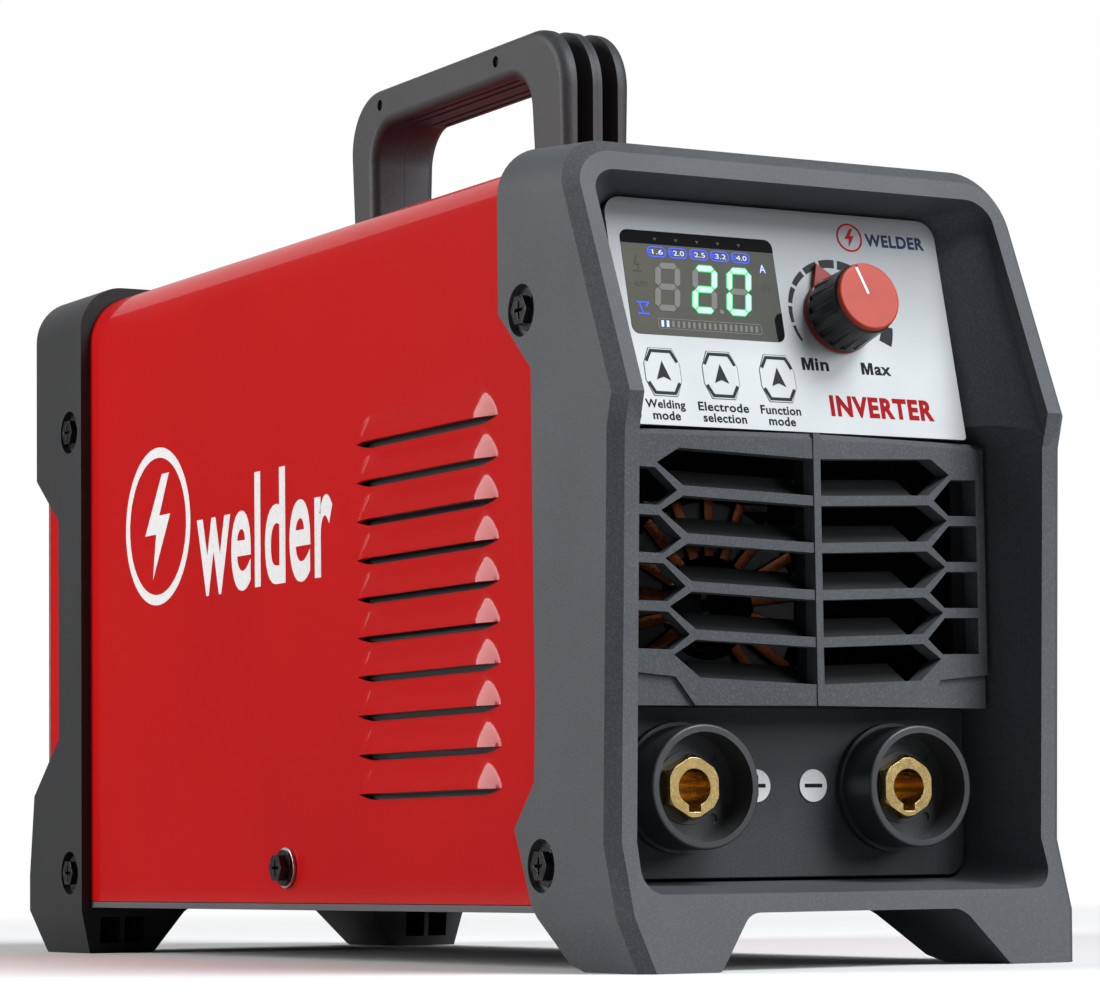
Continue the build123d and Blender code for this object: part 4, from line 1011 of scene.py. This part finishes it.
# floor, light and camera
studio = {
    "floorSize": 9.0, "floorSteps": 8, "fadeFrom": 0.30, "fadeTo": 1.0, "paper": (0.86, 0.86, 0.86),
    "floorBounce": (0.34, 0.34, 0.34), "backdrop": (1.0, 1.0, 1.0), "ambient": (0.86, 0.92, 1.0),
    "ambientStrength": 0.08, "aim": (0, 0, 0.11),
}
# place, size, power and colour, in metres and watts
lamps = {
    "sideSoftbox": ((-1.48, 0.88, 0.72), (0.95, 1.4), 35, (1.0, 0.99, 0.98)),
    "highSoftbox": ((0.70, -1.35, 1.80), (1.1, 1.0), 56, (0.94, 0.97, 1.0)),
    "lowSoftbox": ((0.80, -1.38, 0.62), (0.8, 0.6), 11, (0.94, 0.97, 1.0)),
    "backPanel": ((0.95, 2.30, 1.45), (3.2, 1.4), 9, (1.0, 1.0, 1.0)),
}


def joinShaders(tree, share, first, second):
    join = tree.nodes.new("ShaderNodeMixShader")
    tree.links.new(share, join.inputs["Fac"])
    tree.links.new(first, join.inputs[1])
    tree.links.new(second, join.inputs[2])
    return join.outputs["Shader"]


def makeFloor():
    size = studio["floorSize"] / 2
    steps = studio["floorSteps"]
    shape = bmesh.new()
    places = [size * (2 * step / steps - 1) for step in range(steps + 1)]
    grid = [[shape.verts.new((x, y, 0)) for x in places] for y in places]
    for near, far in zip(grid, grid[1:]):
        for index in range(steps):
            shape.faces.new((near[index], near[index + 1], far[index + 1], far[index]))
    floor = meshPiece("floor", shape)
    finish, tree, shader = newFinish("floorPaper")
    place = tree.nodes.new("ShaderNodeTexCoord")
    length = tree.nodes.new("ShaderNodeVectorMath")
    length.operation = "LENGTH"
    tree.links.new(place.outputs["Object"], length.inputs[0])
    fade = addRange(tree, length.outputs["Value"], 0, 1, studio["fadeFrom"], studio["fadeTo"])
    glow = tree.nodes.new("ShaderNodeEmission")
    glow.inputs["Color"].default_value = (*studio["backdrop"], 1)
    shader.inputs["Base Color"].default_value = (*studio["paper"], 1)
    shader.inputs["Roughness"].default_value = 0.7
    faded = joinShaders(tree, fade, shader.outputs["BSDF"], glow.outputs["Emission"])
    dim = tree.nodes.new("ShaderNodeBsdfDiffuse")
    dim.inputs["Color"].default_value = (*studio["floorBounce"], 1)
    ray = tree.nodes.new("ShaderNodeLightPath")
    seen = joinShaders(tree, ray.outputs["Is Camera Ray"], dim.outputs["BSDF"], faded)
    tree.links.new(seen, tree.nodes["Material Output"].inputs["Surface"])
    floor.data.materials.append(finish)


def makeWorld():
    world = bpy.data.worlds.new("studio")
    bpy.context.scene.world = world
    world.use_nodes = True
    tree = world.node_tree
    seen = tree.nodes["Background"]
    seen.inputs["Color"].default_value = (*studio["backdrop"], 1)
    soft = tree.nodes.new("ShaderNodeBackground")
    soft.inputs["Color"].default_value = (*studio["ambient"], 1)
    soft.inputs["Strength"].default_value = studio["ambientStrength"]
    ray = tree.nodes.new("ShaderNodeLightPath")
    share = ray.outputs["Is Camera Ray"]
    both = joinShaders(tree, share, soft.outputs["Background"], seen.outputs["Background"])
    tree.links.new(both, tree.nodes["World Output"].inputs["Surface"])


def makeLamps():
    for name, (place, size, power, tone) in lamps.items():
        data = bpy.data.lights.new(name, "AREA")
        data.shape = "RECTANGLE"
        data.size, data.size_y = size
        data.energy = power
        data.color = tone
        holder = bpy.data.objects.new(name, data)
        holder.location = place
        holder.rotation_euler = (Vector(studio["aim"]) - Vector(place)).to_track_quat("-Z", "Y").to_euler()
        bpy.context.scene.collection.objects.link(holder)


cameraSet = {
    "place": (-0.53677, -0.97668, 0.02771), "lens": 128.51, "sensor": 36.0,
    "yaw": 29.609, "pitch": 5.134, "roll": -0.72,
}


def makeCamera():
    yaw, pitch, roll = (math.radians(cameraSet[name]) for name in ("yaw", "pitch", "roll"))
    ahead = Vector((math.sin(yaw) * math.cos(pitch), math.cos(yaw) * math.cos(pitch), math.sin(pitch)))
    level = Vector((math.cos(yaw), -math.sin(yaw), 0))
    upright = level.cross(ahead)
    right = level * math.cos(roll) + upright * math.sin(roll)
    up = upright * math.cos(roll) - level * math.sin(roll)
    data = bpy.data.cameras.new("camera")
    data.lens = cameraSet["lens"]
    data.sensor_width = cameraSet["sensor"]
    data.clip_start = 0.05
    camera = bpy.data.objects.new("camera", data)
    turn = Matrix((right, up, -ahead)).transposed().to_4x4()
    camera.matrix_world = Matrix.Translation(cameraSet["place"]) @ turn
    bpy.context.scene.collection.objects.link(camera)
    bpy.context.scene.camera = camera


makeFloor()
makeWorld()
makeLamps()
makeCamera()
bpy.context.scene.view_settings.view_transform = "Standard"
print("studio made")
